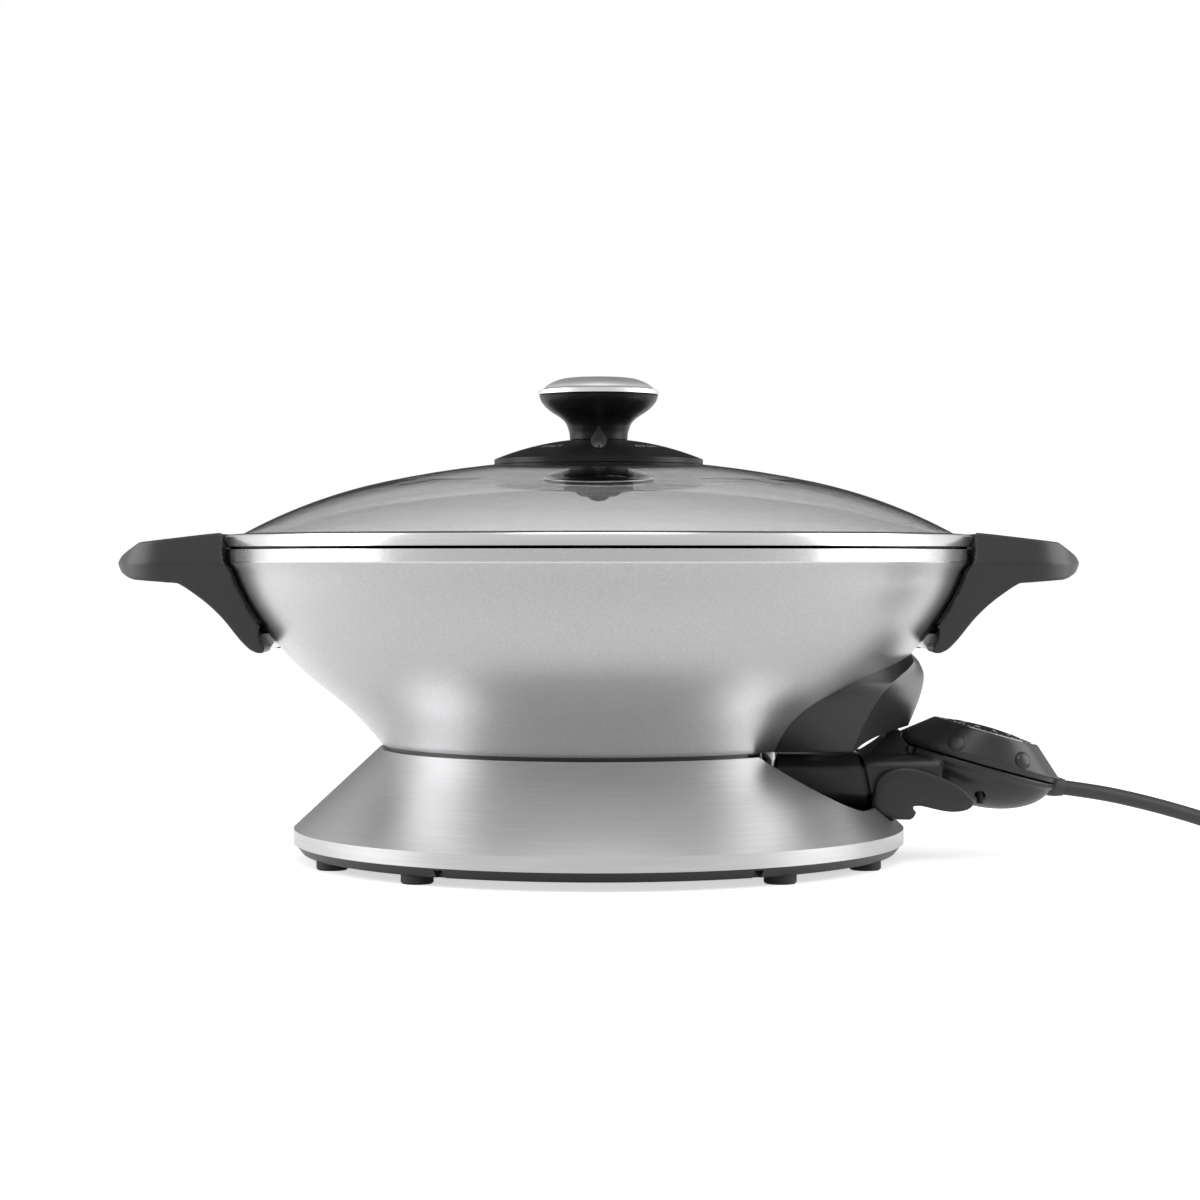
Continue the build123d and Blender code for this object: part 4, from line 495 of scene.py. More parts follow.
def make_joined_faces():
    """Joins a node's loose triangles and shades them smooth, apart from creases."""
    tree = bpy.data.node_groups.new("joined_faces", "GeometryNodeTree")
    tree.interface.new_socket("Geometry", in_out="INPUT", socket_type="NodeSocketGeometry")
    limit = tree.interface.new_socket("Crease angle", in_out="INPUT", socket_type="NodeSocketFloat")
    limit.default_value = CREASE_ANGLE
    tree.interface.new_socket("Geometry", in_out="OUTPUT", socket_type="NodeSocketGeometry")
    given = tree.nodes.new("NodeGroupInput").outputs
    result = tree.nodes.new("NodeGroupOutput").inputs
    merged = add_node(
        tree, "GeometryNodeMergeByDistance", {"Geometry": given["Geometry"], "Distance": MERGE_DISTANCE}
    )
    smooth = add_node(tree, "GeometryNodeSetShadeSmooth", {"Geometry": merged.outputs[0]})
    angle = tree.nodes.new("GeometryNodeInputMeshEdgeAngle").outputs["Unsigned Angle"]
    steep = math_node(tree, "GREATER_THAN", angle, given["Crease angle"])
    creased = add_node(
        tree, "GeometryNodeSetShadeSmooth",
        {"Geometry": smooth.outputs[0], "Selection": steep, "Shade Smooth": False}, domain="EDGE",
    )
    tree.links.new(creased.outputs[0], result["Geometry"])
    return tree


JOINED_FACES = make_joined_faces()


def dress(name, material):
    """Gives a CAD node its finish and smooth shading. Its shape stays."""
    piece = nodes[name]
    piece.data.materials.clear()
    piece.data.materials.append(material)
    modify(piece, "NODES", node_group=JOINED_FACES)


def moulded(node, material, body, voxel, softness, keep=0.4, crown=0):
    """A node's shape with the rounded edges of a moulding: voxel size in millimetres.

    Keep is the share of its faces that stays. A crown rounds its left and right sides only, as a
    pillow, and leaves its outline from the side.
    """
    rough = put_in_scene("rough_" + node, mesh_from("rough_" + node, merged_copy(node)))
    modify(rough, "REMESH", mode="VOXEL", voxel_size=voxel * MM)
    modify(rough, "SMOOTH", factor=0.5, iterations=softness)
    if crown:
        modify(rough, "SMOOTH", factor=0.5, iterations=crown, use_x=False, use_z=False)
    modify(rough, "DECIMATE", ratio=keep)
    mesh = baked(rough)
    smooth_shading(mesh, sharp_above=60)
    return stand_in("moulded_" + node, mesh, material, body, node)


NODE_FINISHES = {
    "base_skirt": brushed_skirt,
    "base_tray": black_moulding,
    "rubber_feet": foot_rubber,
    "cutout_back_panel": black_moulding,
    "heat_shield": plain_steel,
    "shield_screws": plain_steel,
    "insulating_collar": black_moulding,
    "lock_dial": black_moulding,
    "lock_clip": plain_steel,
    "locking_stud": plain_steel,
    "wok_bowl": cast_bowl,
    "heating_element": element_sheath,
    "terminal_pins": plain_steel,
    "pin_insulators": glazed_ceramic,
    "probe_guide": plain_steel,
    "earth_blade": plain_steel,
    "socket_housing": charcoal_moulding,
    "socket_screws": plain_steel,
    "guard_screws": plain_steel,
    "handle_brackets": plain_steel,
    "handle_spacers": satin_black,
    "handle_screws": plain_steel,
    "lid_rim_band": lid_band_steel,
    "lid_glass": lid_clear,
    "vent_collar": satin_black,
    "vent_gasket": foot_rubber,
    "under_boss": satin_black,
    "lid_washer": polished_steel,
    "knob_spindle": plain_steel,
    "vent_shutter": black_moulding,
    "knob_screw": black_moulding,
    "dial_bezel": polished_steel,
    "connector_block": black_moulding,
    "contact_sockets": contact_brass,
    "sensor_rod": plain_steel,
    "earth_contact": contact_brass,
    "thermostat": glazed_ceramic,
    "indicator_lamp": lamp_clear,
    "probe_screws": satin_black,
    "trigger_pins": plain_steel,
    "trigger_springs": plain_steel,
    "temperature_dial": gloss_dial,
    "dial_shaft": plain_steel,
    "plug_body": lead_jacket,
    "plug_pins": contact_brass,
}
for node_name, node_finish in NODE_FINISHES.items():
    dress(node_name, node_finish)

for side_handle in ("right_handle", "left_handle"):
    moulded(side_handle, charcoal_moulding, "wok", voxel=0.75, softness=3, keep=0.35)
upper_shell = moulded("probe_upper_shell", charcoal_moulding, "probe", voxel=0.6, softness=4)
moulded("probe_lower_shell", charcoal_moulding, "probe", voxel=0.6, softness=4)
moulded("eject_trigger", charcoal_moulding, "trigger", voxel=0.6, softness=8, crown=160)
moulded("strain_relief", lead_jacket, "probe", voxel=0.35, softness=3)


# ------------------------------------------------------------------ element guard

# Level by level, in millimetres: height, then x and y of the back, of the middle of the side and of
# the crease, and x of the front
GUARD_LEVELS = (
    (60.0, 60.0, 66.0, 83.5, 72.0, 126.8, 65.0, 158.5),
    (75.0, 66.0, 78.0, 92.5, 83.5, 132.8, 72.0, 165.2),
    (86.0, 79.0, 85.0, 105.6, 87.5, 139.0, 75.0, 169.2),
    (95.0, 94.0, 84.0, 119.5, 83.0, 147.5, 69.0, 170.8),
    (101.0, 106.0, 82.0, 130.0, 75.5, 157.5, 48.0, 169.0),
    (105.0, 118.0, 74.0, 141.0, 62.5, 162.0, 30.0, 166.2),
    (110.5, 130.0, 60.0, 150.0, 46.0, 158.5, 20.0, 160.5),
)
GUARD_BOTTOM_Z = GUARD_LEVELS[0][0] * MM
GUARD_TOP_Z = GUARD_LEVELS[-1][0] * MM
GUARD_LAST = len(GUARD_LEVELS) - 1
GUARD_FLATNESS = 0.15  # of the front beside the crease: 0 is flattest
GUARD_WALL = 0.0022
GUARD_EDGE = 0.0014  # width of the rounding where two faces meet
GUARD_EDGE_ANGLE = radians(14)  # at more than this
GUARD_ARCH_HALF_WIDTH = 0.060
GUARD_ARCH_HEIGHT = 0.0092
GUARD_BOWL_GAP = 0.0002
GUARD_ROWS = 40
GUARD_SIDE_COLUMNS = 44
GUARD_FRONT_COLUMNS = 26
HALVINGS = 24  # of the stretch in which a crossing is looked for
ENVELOPE_SIDES = 128
ENVELOPE_ROWS = 24
ENVELOPE_LOW_Z = GUARD_BOTTOM_Z - 0.01
ENVELOPE_HIGH_Z = GUARD_TOP_Z + 0.004


def smooth_between(rows, place):
    """A row between the given rows, on a smooth curve through them all."""
    last = len(rows) - 1
    here = min(int(place), last - 1)
    t = place - here
    a, b, c, d = (rows[max(0, min(last, here + step))] for step in (-1, 0, 1, 2))
    return [
        0.5 * (2 * q + (r - p) * t + (2 * p - 5 * q + 4 * r - u) * t**2 + (3 * q - p - 3 * r + u) * t**3)
        for p, q, r, u in zip(a, b, c, d)
    ]


def curve_point(first, handle, last, t):
    """A point in x and y of the curve from first to last that a handle pulls on."""
    return [a * (1 - t) ** 2 + 2 * b * t * (1 - t) + c * t**2 for a, b, c in zip(first, handle, last)]


def guard_point(place, along):
    """A point of the guard's outside.

    Its place is counted up the levels, and along runs from the back at 0 over the crease at 1 to
    the front at 2.
    """
    z, back_x, back_y, mid_x, mid_y, crease_x, crease_y, front_x = smooth_between(GUARD_LEVELS, place)
    if along <= 1:
        handle = (2 * mid_x - (back_x + crease_x) / 2, 2 * mid_y - (back_y + crease_y) / 2)
        x, y = curve_point((back_x, back_y), handle, (crease_x, crease_y), along)
    else:
        handle = (front_x, GUARD_FLATNESS * crease_y)
        x, y = curve_point((crease_x, crease_y), handle, (front_x, 0), along - 1)
    return Vector((x, y, z)) * MM


def crossing(is_past, low, high):
    """Where a test turns true between low and high."""
    for _ in range(HALVINGS):
        middle = (low + high) / 2
        if is_past(middle):
            high = middle
        else:
            low = middle
    return high


def guard_column(along):
    """A line of points up the guard's outside, from its lower edge or its arch for the probe."""
    def over_arch(place):
        point = guard_point(place, along)
        share = min(abs(point.y) / GUARD_ARCH_HALF_WIDTH, 1)
        return point.z >= GUARD_BOTTOM_Z + GUARD_ARCH_HEIGHT * sqrt(1 - share**2)

    start = 0 if along < 1 or over_arch(0) else crossing(over_arch, 0, GUARD_LAST / 2)
    places = [start + (GUARD_LAST - start) * row / GUARD_ROWS for row in range(GUARD_ROWS + 1)]
    return [guard_point(place, along) for place in places]


def guard_skin():
    """The guard's outside, without a thickness."""
    half = [guard_column(i / GUARD_SIDE_COLUMNS) for i in range(GUARD_SIDE_COLUMNS + 1)]
    half += [guard_column(1 + i / GUARD_FRONT_COLUMNS) for i in range(1, GUARD_FRONT_COLUMNS + 1)]
    mirrored = [[Vector((p.x, -p.y, p.z)) for p in points] for points in reversed(half[:-1])]
    shape = bmesh.new()
    grid = [[shape.verts.new(point) for point in points] for points in half + mirrored]
    for left, right in zip(grid, grid[1:]):
        for i in range(GUARD_ROWS):
            shape.faces.new((left[i], left[i + 1], right[i + 1], right[i]))
    bmesh.ops.recalc_face_normals(shape, faces=shape.faces)
    middle_face = shape.faces[:][len(shape.faces) // 2]
    if middle_face.normal.x < 0:
        bmesh.ops.reverse_faces(shape, faces=shape.faces)
    return shape


def make_bowl_envelope():
    """A turned solid that follows the bowl's outside, a little larger than it."""
    bowl = surface_of("wok_bowl")
    shape = bmesh.new()
    rings = []
    for row in range(ENVELOPE_ROWS + 1):
        z = ENVELOPE_LOW_Z + (ENVELOPE_HIGH_Z - ENVELOPE_LOW_Z) * row / ENVELOPE_ROWS
        level = max(z, GUARD_BOTTOM_Z)
        front = bowl.ray_cast(Vector((0, -FAR, level)), Vector((0, 1, 0)))[0]
        rings.append(add_ring(shape, GUARD_BOWL_GAP - front.y, z, ENVELOPE_SIDES))
    join_rings(shape, rings)
    shape.faces.new(list(reversed(rings[0])))
    shape.faces.new(rings[-1])
    return put_in_scene("bowl_envelope", mesh_from("bowl_envelope", shape))


def make_guard():
    """The guard's shell, cut off where it meets the bowl."""
    rough = put_in_scene("rough_guard", mesh_from("rough_guard", guard_skin()))
    modify(rough, "SOLIDIFY", thickness=GUARD_WALL, offset=-1)
    modify(
        rough, "BEVEL", width=GUARD_EDGE, segments=3, limit_method="ANGLE", angle_limit=GUARD_EDGE_ANGLE
    )
    envelope = make_bowl_envelope()
    modify(rough, "BOOLEAN", operation="DIFFERENCE", solver="EXACT", object=envelope)
    mesh = baked(rough)
    bpy.data.objects.remove(envelope)
    smooth_shading(mesh, sharp_above=50)
    stand_in("guard_shell", mesh, charcoal_moulding, "wok", "element_guard")


# ------------------------------------------------------------------ vent knob

# In millimetres: radius, and height as a share of the side's
KNOB_SIDE = (
    (15.1, 0.0), (15.3, 0.13), (15.9, 0.23), (16.8, 0.34), (18.7, 0.45),
    (21.2, 0.535), (24.9, 0.64), (27.7, 0.745), (30.0, 0.87), (31.1, 1.0),
)
# In millimetres: how far in from the cap's radius, and how high over the seam between knob and cap
KNOB_TOP = ((0.8, -0.2), (2.4, -0.2), (2.4, 1.2))
KNOB_LIP = 0.0007  # from the top of the knob's side to the seam
# In millimetres: how far in from the cap's radius, and how far below its top
CAP_CROWN = (
    (0.0, 9.0), (0.9, 8.4), (2.9, 5.3), (6.0, 3.0), (10.5, 1.1), (14.6, 0.3), (20.0, 0.05), (31.1, 0.0),
)
CAP_BAND = 0.0022  # height of its upright side
CAP_EDGE = 0.0002  # from that to the crown
CAP_WALL = 0.001
CAP_LIP = 0.0022  # width of its lower edge
CAP_LOWER = 0.0006  # its top is this much below the solid's
SEAM_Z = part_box("knob_cap")[0].z
CAP_TOP_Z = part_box("knob_cap")[1].z - CAP_LOWER
CAP_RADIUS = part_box("knob_cap")[1].x
TURNED_SIDES = 96
TURNED_CREASE = 38  # degrees
CURVE_STEPS = 5  # between two points of a profile
# In millimetres: reach from the axis, half width at the foot, and how high its ridge stands over the collar
POINTER_STATIONS = (
    (13.0, 3.4, 6.9), (17.0, 3.6, 6.6), (25.0, 4.0, 5.8), (33.0, 4.0, 4.6), (37.0, 3.6, 3.8),
    (40.0, 2.8, 3.0), (42.0, 1.9, 2.3), (43.4, 1.0, 1.7),
)
POINTER_FOOT = 0.12  # height of its upright foot, as a share of the ridge's
POINTER_SHOULDER = 0.97  # and that of the ridge's shoulders
POINTER_RIDGE = 0.35  # from the ridge to its shoulders, in millimetres
POINTER_GAP = 0.0004  # between the knob and the collar


def through(rows):
    """Points on a smooth curve through the given ones."""
    steps = (len(rows) - 1) * CURVE_STEPS
    return [smooth_between(rows, i / CURVE_STEPS) for i in range(steps + 1)]


def turned(name, profile):
    """A closed mesh turned about the axis, from radius and height in metres."""
    shape = bmesh.new()
    join_rings(shape, [add_ring(shape, radius, z, TURNED_SIDES) for radius, z in profile])
    bmesh.ops.remove_doubles(shape, verts=shape.verts, dist=MERGE_DISTANCE)
    bmesh.ops.recalc_face_normals(shape, faces=shape.faces)
    mesh = mesh_from(name, shape)
    smooth_shading(mesh, sharp_above=TURNED_CREASE)
    return mesh


def make_knob_shell():
    """The knob's side, up to the seam under its cap."""
    bottom_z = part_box("vent_collar")[1].z + POINTER_GAP
    side_height = SEAM_Z - KNOB_LIP - bottom_z
    side = [(r * MM, bottom_z + share * side_height) for r, share in through(KNOB_SIDE)]
    top = [(CAP_RADIUS - inset * MM, SEAM_Z + rise * MM) for inset, rise in KNOB_TOP]
    mesh = turned("knob_shell", [(0, bottom_z), *side, *top, (0, top[-1][1])])
    stand_in("knob_shell", mesh, satin_black, "vent_knob", "knob_body")


def make_knob_pointer():
    """A ridge that lies over the collar and narrows to a tip, in a lighter grey than the knob it is moulded
    with, as a painted highlight on its facets.
    """
    collar = surface_of("vent_collar")
    shape = bmesh.new()
    sections = []
    for reach, half_width, rise in through(POINTER_STATIONS):
        under = collar.ray_cast(Vector((0, -reach * MM, FAR)), DOWN)[0].z + POINTER_GAP
        foot = POINTER_FOOT * rise
        shoulder = POINTER_SHOULDER * rise
        row = [
            (-half_width, 0), (-half_width, foot), (-POINTER_RIDGE, shoulder), (0, rise),
            (POINTER_RIDGE, shoulder), (half_width, foot), (half_width, 0),
        ]
        sections.append([shape.verts.new((x * MM, -reach * MM, under + z * MM)) for x, z in row])
    join_rings(shape, sections)
    shape.faces.new(sections[0])
    shape.faces.new(list(reversed(sections[-1])))
    bmesh.ops.recalc_face_normals(shape, faces=shape.faces)
    mesh = mesh_from("knob_pointer", shape)
    smooth_shading(mesh, sharp_above=30)
    # painted highlight: the lighter charcoal instead of the knob's satin black
    finished("knob_pointer", mesh, charcoal_moulding, "vent_knob")


def make_knob_cap():
    """The knob's metal cap: an upright band and a domed crown, with a wall's thickness."""
    crown = [(CAP_RADIUS - inset * MM, CAP_TOP_Z - drop * MM) for inset, drop in through(CAP_CROWN)]
    outside = [(CAP_RADIUS, SEAM_Z), (CAP_RADIUS, SEAM_Z + CAP_BAND)]
    outside += [(r, z) for r, z in crown if z > SEAM_Z + CAP_BAND + CAP_EDGE]
    inside = [(max(r - CAP_WALL, 0), z - CAP_WALL) for r, z in reversed(outside[2:])]
    inside += [(CAP_RADIUS - CAP_LIP, SEAM_Z), outside[0]]
    mesh = turned("cap_shell", [*outside, (0, CAP_TOP_Z), (0, CAP_TOP_Z - CAP_WALL), *inside])
    stand_in("cap_shell", mesh, brushed_cap, "vent_knob", "knob_cap")


# ------------------------------------------------------------------ prints, marks and small bumps

def settled(surface, start, aim, up, lift=0.0):
    """The place on a surface that a line meets: flat on it, with its top towards up."""
    spot, normal, _, _ = surface.ray_cast(Vector(start), Vector(aim))
    if normal.dot(Vector(aim)) > 0:
        normal = -normal
    across = Vector(up).cross(normal).normalized()
    place = Matrix((across, normal.cross(across), normal)).transposed().to_4x4()
    place.translation = spot + normal * lift
    return place


def lettering(words, height, thickness):
    """Letters as a mesh, flat on their middle."""
    curve = bpy.data.curves.new("letters", "FONT")
    curve.body = words
    curve.size = height
    curve.align_x = "CENTER"
    curve.align_y = "CENTER"
    curve.extrude = thickness / 2
    return baked(put_in_scene("letters", curve))


def joined(name, placed):
    """One mesh from several, each moved to its place."""
    shape = bmesh.new()
    for mesh, place in placed:
        mesh.transform(place)
        shape.from_mesh(mesh)
    return mesh_from(name, shape)


def make_ring_of_bars():
    """Small bars on a circle, each one pointing to its middle."""
    tree = bpy.data.node_groups.new("ring_of_bars", "GeometryNodeTree")
    for label, kind in (
        ("Count", "NodeSocketInt"), ("Radius", "NodeSocketFloat"), ("Start", "NodeSocketFloat"),
        ("Step", "NodeSocketFloat"), ("Size", "NodeSocketVector"), ("Material", "NodeSocketMaterial"),
    ):
        tree.interface.new_socket(label, in_out="INPUT", socket_type=kind)
    tree.interface.new_socket("Geometry", in_out="OUTPUT", socket_type="NodeSocketGeometry")
    given = tree.nodes.new("NodeGroupInput").outputs
    result = tree.nodes.new("NodeGroupOutput").inputs
    index = tree.nodes.new("GeometryNodeInputIndex").outputs[0]
    turn = math_node(tree, "MULTIPLY", index, given["Step"])
    turn = math_node(tree, "ADD", turn, given["Start"])
    x = math_node(tree, "MULTIPLY", math_node(tree, "COSINE", turn), given["Radius"])
    y = math_node(tree, "MULTIPLY", math_node(tree, "SINE", turn), given["Radius"])
    spot = add_node(tree, "ShaderNodeCombineXYZ", {0: x, 1: y}).outputs[0]
    spin = add_node(tree, "ShaderNodeCombineXYZ", {2: turn}).outputs[0]
    points = add_node(tree, "GeometryNodePoints", {"Count": given["Count"], "Position": spot}).outputs[0]
    bar = add_node(tree, "GeometryNodeMeshCube", {"Size": given["Size"]}).outputs[0]
    facing = add_node(tree, "FunctionNodeEulerToRotation", {0: spin}).outputs[0]
    bars = add_node(
        tree, "GeometryNodeInstanceOnPoints", {"Points": points, "Instance": bar, "Rotation": facing}
    )
    real = add_node(tree, "GeometryNodeRealizeInstances", {0: bars.outputs[0]})
    coated = add_node(
        tree, "GeometryNodeSetMaterial", {"Geometry": real.outputs[0], "Material": given["Material"]}
    )
    tree.links.new(coated.outputs[0], result[0])
    return tree


RING_OF_BARS = make_ring_of_bars()


def ring_of_bars(count, radius, start, step, size, material):
    """The ring as a plain mesh, round the upright axis."""
    values = {
        "Count": count, "Radius": radius, "Start": start, "Step": step, "Size": size,
        "Material": material,
    }
    ring = put_in_scene("ring", bpy.data.meshes.new("ring"))
    maker = modify(ring, "NODES", node_group=RING_OF_BARS)
    for socket in RING_OF_BARS.interface.items_tree:
        if socket.in_out == "INPUT":
            maker[socket.identifier] = values[socket.name]
    return baked(ring)


joint_of = {joint["name"]: joint for joint in frame["joints"]}
DIAL_AXIS = Vector(joint_of["dial_turn"]["axis"]).normalized()
DIAL_MIDDLE = Vector(joint_of["dial_turn"]["pos_m"])
DIAL_ACROSS = Vector((DIAL_AXIS.z, 0, -DIAL_AXIS.x))
DIAL_PLACE = Matrix((DIAL_ACROSS, (0, 1, 0), DIAL_AXIS)).transposed().to_4x4()
DIAL_PLACE.translation = DIAL_MIDDLE
PRINT_THICKNESS = 0.00016
DIAL_NUMBERS = 10
DIAL_NUMBER_HEIGHT = 0.0052
DIAL_NUMBER_RADIUS = 0.0158
TICKS_PER_NUMBER = 4
DIAL_TICKS = (DIAL_NUMBERS - 1) * TICKS_PER_NUMBER + 1
DIAL_TICK_SIZE = (0.0022, 0.0004, 0.0003)
DIAL_TICK_RADIUS = 0.0208
DIAL_SWEEP = radians(300)


def make_dial_print():
    """Plain numbers, with ticks round them."""
    surface = surface_of("temperature_dial")
    placed = []
    for number in range(1, DIAL_NUMBERS + 1):
        turn = DIAL_SWEEP * (number - 1) / (DIAL_NUMBERS - 1) - DIAL_SWEEP / 2
        outward = Vector((cos(turn), sin(turn), 0))
        start = DIAL_PLACE @ (outward * DIAL_NUMBER_RADIUS + Vector((0, 0, FAR)))
        up = DIAL_PLACE.to_3x3() @ outward
        place = settled(surface, start, -DIAL_AXIS, up, PRINT_THICKNESS / 2)
        placed.append((lettering(str(number), DIAL_NUMBER_HEIGHT, PRINT_THICKNESS), place))
    ring = ring_of_bars(
        DIAL_TICKS, DIAL_TICK_RADIUS, -DIAL_SWEEP / 2, DIAL_SWEEP / (DIAL_TICKS - 1), DIAL_TICK_SIZE,
        white_print,
    )
    spot = surface.ray_cast(DIAL_PLACE @ Vector((DIAL_TICK_RADIUS, 0, FAR)), -DIAL_AXIS)[0]
    drop = (spot - DIAL_MIDDLE).dot(DIAL_AXIS)
    placed.append((ring, DIAL_PLACE @ Matrix.Translation((0, 0, drop))))
    finished("dial_print", joined("dial_print", placed), white_print, "dial")


COLLAR_WORDS = (("< SHUT", radians(-46)), ("OPEN >", radians(46)))  # and where, from the front
COLLAR_LETTER_HEIGHT = 0.0042
COLLAR_LETTER_STEP = radians(5.4)
COLLAR_PRINT_RADIUS = 0.0375


def make_collar_print():
    """Which way the vent shuts and which way it opens, letter by letter round the collar."""
    surface = surface_of("vent_collar")
    placed = []
    for words, middle in COLLAR_WORDS:
        for number, letter in enumerate(words):
            turn = middle + (number - (len(words) - 1) / 2) * COLLAR_LETTER_STEP
            outward = Vector((sin(turn), -cos(turn), 0))
            start = outward * COLLAR_PRINT_RADIUS - DOWN * FAR
            if letter != " ":
                place = settled(surface, start, DOWN, -outward, PRINT_THICKNESS / 2)
                placed.append((lettering(letter, COLLAR_LETTER_HEIGHT, PRINT_THICKNESS), place))
    finished("collar_print", joined("collar_print", placed), grey_print, "lid")


PIP_RADIUS = 0.0046
PIP_PLACES = ((0.1846, 0.0618, 0.0009), (0.2189, 0.0527, 0.0019))  # x, z and height


def make_pips():
    """Two low lens-shaped bumps on each side of the head, to grip it by."""
    surface = surface_of(upper_shell)
    placed = []
    for side in (-1, 1):
        for x, z, height in PIP_PLACES:
            dome = bmesh.new()
            bmesh.ops.create_uvsphere(dome, u_segments=40, v_segments=20, radius=1.0)
            mesh = mesh_from("pip", dome)
            mesh.transform(Matrix.Diagonal((PIP_RADIUS, PIP_RADIUS, height, 1)))
            placed.append((mesh, settled(surface, (x, side * FAR, z), (0, -side, 0), -DOWN)))
    mesh = joined("grip_pips", placed)
    smooth_shading(mesh)
    finished("grip_pips", mesh, charcoal_moulding, "probe")


TRAY_RIBS = 16
TRAY_RIB_SIZE = (0.086, 0.0024, 0.0016)
TRAY_RIB_RADIUS = 0.086  # to the middle of a rib's length


def make_tray_ribs():
    """Stiffening ribs under the tray."""
    underside = surface_of("base_tray").ray_cast(Vector((TRAY_RIB_RADIUS, 0, -FAR)), -DOWN)[0]
    ribs = ring_of_bars(
        TRAY_RIBS, TRAY_RIB_RADIUS, pi / TRAY_RIBS, 2 * pi / TRAY_RIBS, TRAY_RIB_SIZE, black_moulding,
    )
    mesh = joined("tray_ribs", [(ribs, Matrix.Translation((0, 0, underside.z)))])
    finished("tray_ribs", mesh, black_moulding, "wok")


make_guard()
make_knob_shell()
make_knob_pointer()
make_knob_cap()
make_dial_print()
make_collar_print()
make_pips()
make_tray_ribs()


# ------------------------------------------------------------------ mains lead

CORD_RADIUS = 0.0039
FLOOR_GAP = 0.0001  # under the lead
CORD_ROUTE = (
    (0.2448, 0.0, 0.0364), (0.262, -0.0015, 0.0342), (0.281, -0.006, 0.0304),
    (0.300, -0.0134, 0.0257), (0.319, -0.0204, 0.020), (0.337, -0.0243, 0.0134),
    (0.353, -0.0253, 0.0074), (0.369, -0.025, 0.004),
)
PLUG_RUN = ((0.4331, 0.0365, 0.012), (0.4331, 0.0545, 0.012))  # straight on, into the plug's tail
COIL_CENTRE = Vector((0.385, 0.023))
COIL_OUTER = 0.048  # to the middle of the outer turn
TURN_PITCH = 0.008
COIL_TURNS = 4.25
LOWER_TURNS = 2
CLIMB_TURNS = 0.25  # from the lower turns to the upper ones
POINTS_PER_TURN = 16


def coil_points():
    """The turns: inwards on the floor, then outwards on top of them, each beside the last."""
    points = []
    steps = round(COIL_TURNS * POINTS_PER_TURN)
    for step in range(steps + 1):
        turn = step / POINTS_PER_TURN
        inward = min(turn, LOWER_TURNS) - max(turn - LOWER_TURNS - CLIMB_TURNS, 0)
        radius = COIL_OUTER - TURN_PITCH * inward
        climb = min(max(turn - LOWER_TURNS, 0) / CLIMB_TURNS, 1)
        height = CORD_RADIUS + FLOOR_GAP + TURN_PITCH * climb * climb * (3 - 2 * climb)
        angle = 2 * pi * turn - pi / 2
        points.append((COIL_CENTRE.x + radius * cos(angle), COIL_CENTRE.y + radius * sin(angle), height))
    return points


def make_lead():
    """One round curve from the probe over the floor and round its coil into the plug."""
    curve = bpy.data.curves.new("lead", "CURVE")
    curve.dimensions = "3D"
    curve.bevel_depth = CORD_RADIUS
    curve.bevel_resolution = 6
    curve.resolution_u = 8
    curve.use_fill_caps = True
    spline = curve.splines.new("NURBS")
    points = [*CORD_ROUTE, *coil_points(), *PLUG_RUN]
    spline.points.add(len(points) - 1)
    for point, place in zip(spline.points, points):
        point.co = (*place, 1)
    spline.order_u = 3
    spline.use_endpoint_u = True
    curve.materials.append(lead_jacket)
    lead = put_in_scene("mains_lead", curve)
    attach(lead, "probe")
    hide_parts("mains_cord", "cord_coil")
    return lead


lead = make_lead()


# ------------------------------------------------------------------ floor, backdrop and light

FLOOR_REACH = 6.0
FLOOR_GLOW = 0.62
FLOOR_NEAR_Y = -0.3  # reflections of the floor fade in from here
FLOOR_FAR_Y = 0.2


def make_floor():
    """Plain white floor that keeps the soft shadow, and is darker before the object in its reflections."""
    mesh = bpy.data.meshes.new("floor")
    corners = [(x * FLOOR_REACH, y * FLOOR_REACH, 0) for x, y in ((-1, -1), (1, -1), (1, 1), (-1, 1))]
    mesh.from_pydata(corners, [], [(0, 1, 2, 3)])
    material, tree, surface = new_material("pale_floor")
    surface["Base Color"].default_value = (0.8, 0.8, 0.8, 1)
    surface["Roughness"].default_value = 1.0
    surface["Specular IOR Level"].default_value = 0.0
    surface["Emission Color"].default_value = (1, 1, 1, 1)
    ray = tree.nodes.new("ShaderNodeLightPath").outputs
    behind = range_node(tree, parts_of(tree, object_place(tree))[1], FLOOR_NEAR_Y, FLOOR_FAR_Y, 0.0, 1.0)
    mirrored = math_node(tree, "MULTIPLY", ray["Is Glossy Ray"], behind)
    seen = math_node(tree, "MAXIMUM", ray["Is Camera Ray"], ray["Is Transmission Ray"])
    seen = math_node(tree, "MAXIMUM", seen, mirrored)
    tree.links.new(math_node(tree, "MULTIPLY", seen, FLOOR_GLOW), surface["Emission Strength"])
    mesh.materials.append(material)
    floor = put_in_scene("floor", mesh)


make_floor()


ROOM_FILL = 0.5
ROOM_FRONT = 0.6  # how bright the room is in reflections, before the object and behind it
ROOM_BACK = 1.0
ROOM_FADE = (-1.0, 0.6)  # from front to back, of a direction's y
GLASS_FADE = (0.2, 0.45)  # of a direction's z: above it the room is as dark through glass as in front
CARD_DEPTH = 0.92  # how much of the room's light the dark card takes away
CARD_FOOT_FADE = (-0.02, 0.04)  # its soft edges, of a direction's z, x and y
CARD_TOP_FADE = (0.97, 1.0)
CARD_SIDE_FADE = (0.25, 0.8)
CARD_BACK_FADE = (0.0, 0.2)


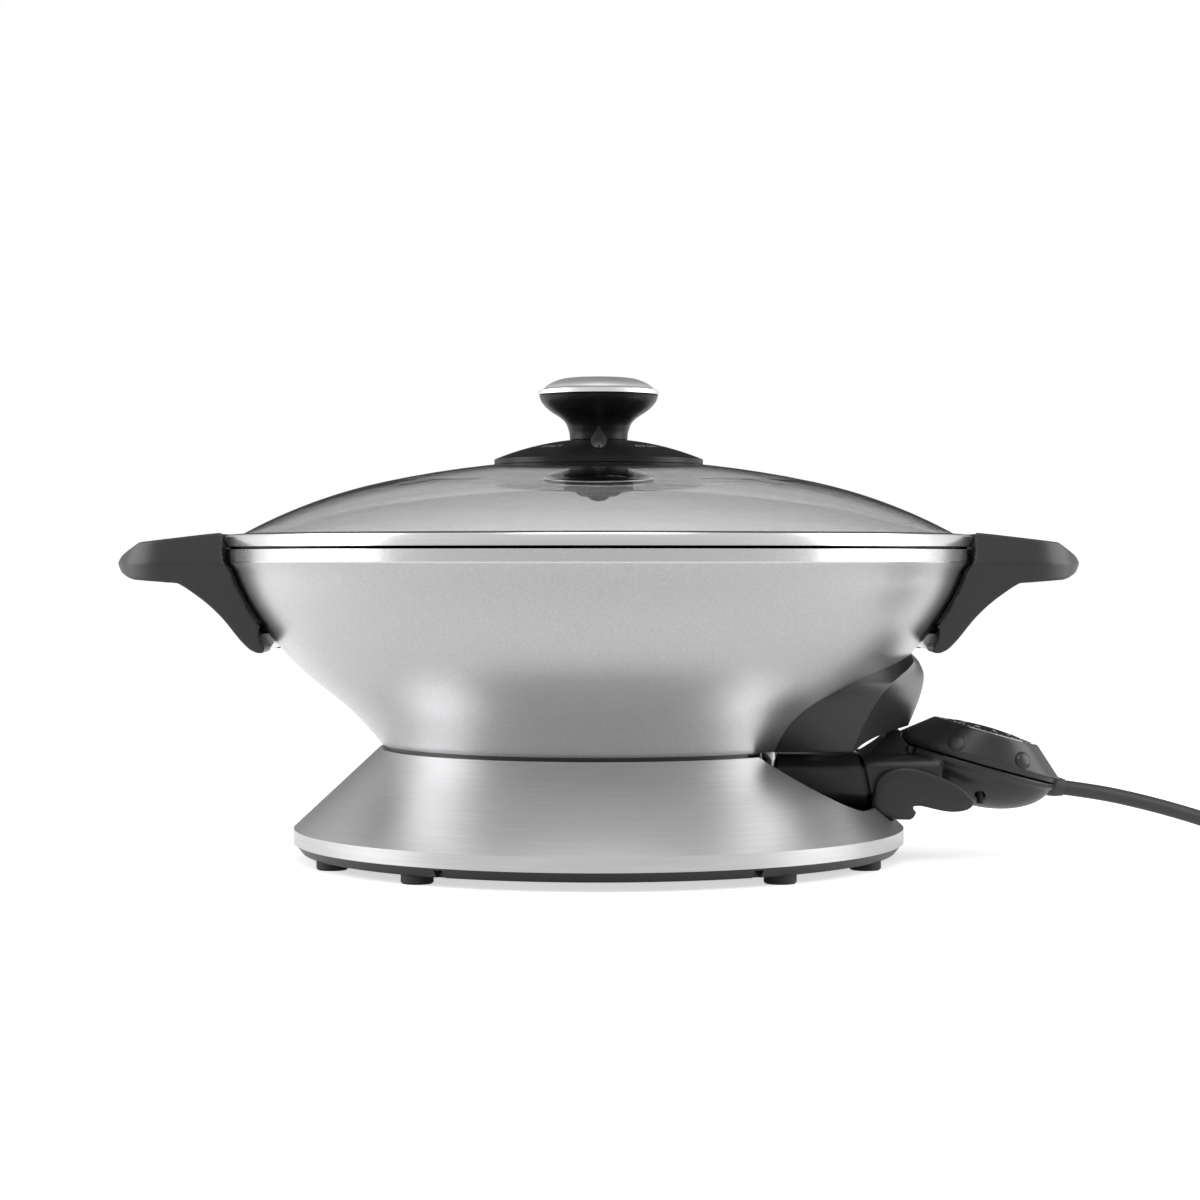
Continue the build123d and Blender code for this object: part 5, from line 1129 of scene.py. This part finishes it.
def dark_card(tree, x, y, z):
    """Mask of a tall dark card that stands behind the object, for reflections only."""
    above = range_node(tree, z, *CARD_FOOT_FADE, 0.0, 1.0)
    below = range_node(tree, z, *CARD_TOP_FADE, 1.0, 0.0)
    beside = range_node(tree, math_node(tree, "ABSOLUTE", x), *CARD_SIDE_FADE, 1.0, 0.0)
    behind = range_node(tree, y, *CARD_BACK_FADE, 0.0, 1.0)
    card = math_node(tree, "MULTIPLY", math_node(tree, "MULTIPLY", above, below), beside)
    return math_node(tree, "MULTIPLY", card, behind)


def make_world():
    """Soft even light, white to the camera and through glass, with a darker room before the object."""
    world = bpy.data.worlds.new("studio")
    world.use_nodes = True
    scene.world = world
    tree = world.node_tree
    background = tree.nodes["Background"]
    background.inputs["Color"].default_value = (1, 1, 1, 1)
    ray = tree.nodes.new("ShaderNodeLightPath").outputs
    x, y, z = parts_of(tree, tree.nodes.new("ShaderNodeTexCoord").outputs["Generated"])
    room = range_node(tree, y, *ROOM_FADE, ROOM_FRONT, ROOM_BACK)
    shade = math_node(tree, "MULTIPLY", dark_card(tree, x, y, z), CARD_DEPTH)
    room = math_node(tree, "MULTIPLY", room, math_node(tree, "SUBTRACT", 1.0, shade))
    mirrored = math_node(tree, "MULTIPLY", ray["Is Glossy Ray"], room)
    glazed = range_node(tree, z, *GLASS_FADE, 1.0, ROOM_FRONT)
    glazed = math_node(tree, "MULTIPLY", ray["Is Transmission Ray"], glazed)
    seen = math_node(tree, "MAXIMUM", ray["Is Camera Ray"], glazed)
    direct = math_node(tree, "MAXIMUM", ray["Is Glossy Ray"], ray["Is Transmission Ray"])
    rest = math_node(tree, "MULTIPLY", math_node(tree, "SUBTRACT", 1.0, direct), ROOM_FILL)
    strength = math_node(tree, "MAXIMUM", math_node(tree, "MAXIMUM", seen, mirrored), rest)
    tree.links.new(strength, background.inputs["Strength"])


make_world()


SOFTBOX_AIM = Vector((0, 0, 0.1))
SOFTBOX_POWER = 9


def add_softbox(name, place, width, height):
    """A rectangular lamp that is aimed at the object's middle."""
    light_data = bpy.data.lights.new(name, "AREA")
    light_data.shape = "RECTANGLE"
    light_data.size = width
    light_data.size_y = height
    light_data.energy = SOFTBOX_POWER
    light = put_in_scene(name, light_data)
    light.location = place
    light.rotation_euler = (SOFTBOX_AIM - Vector(place)).to_track_quat("-Z", "Y").to_euler()


add_softbox("left_softbox", (-1.3, -0.1, 0.45), 0.9, 1.1)
add_softbox("right_softbox", (1.3, -0.1, 0.45), 0.9, 1.1)
add_softbox("top_softbox", (0, -0.8, 1.35), 1.1, 1.1)
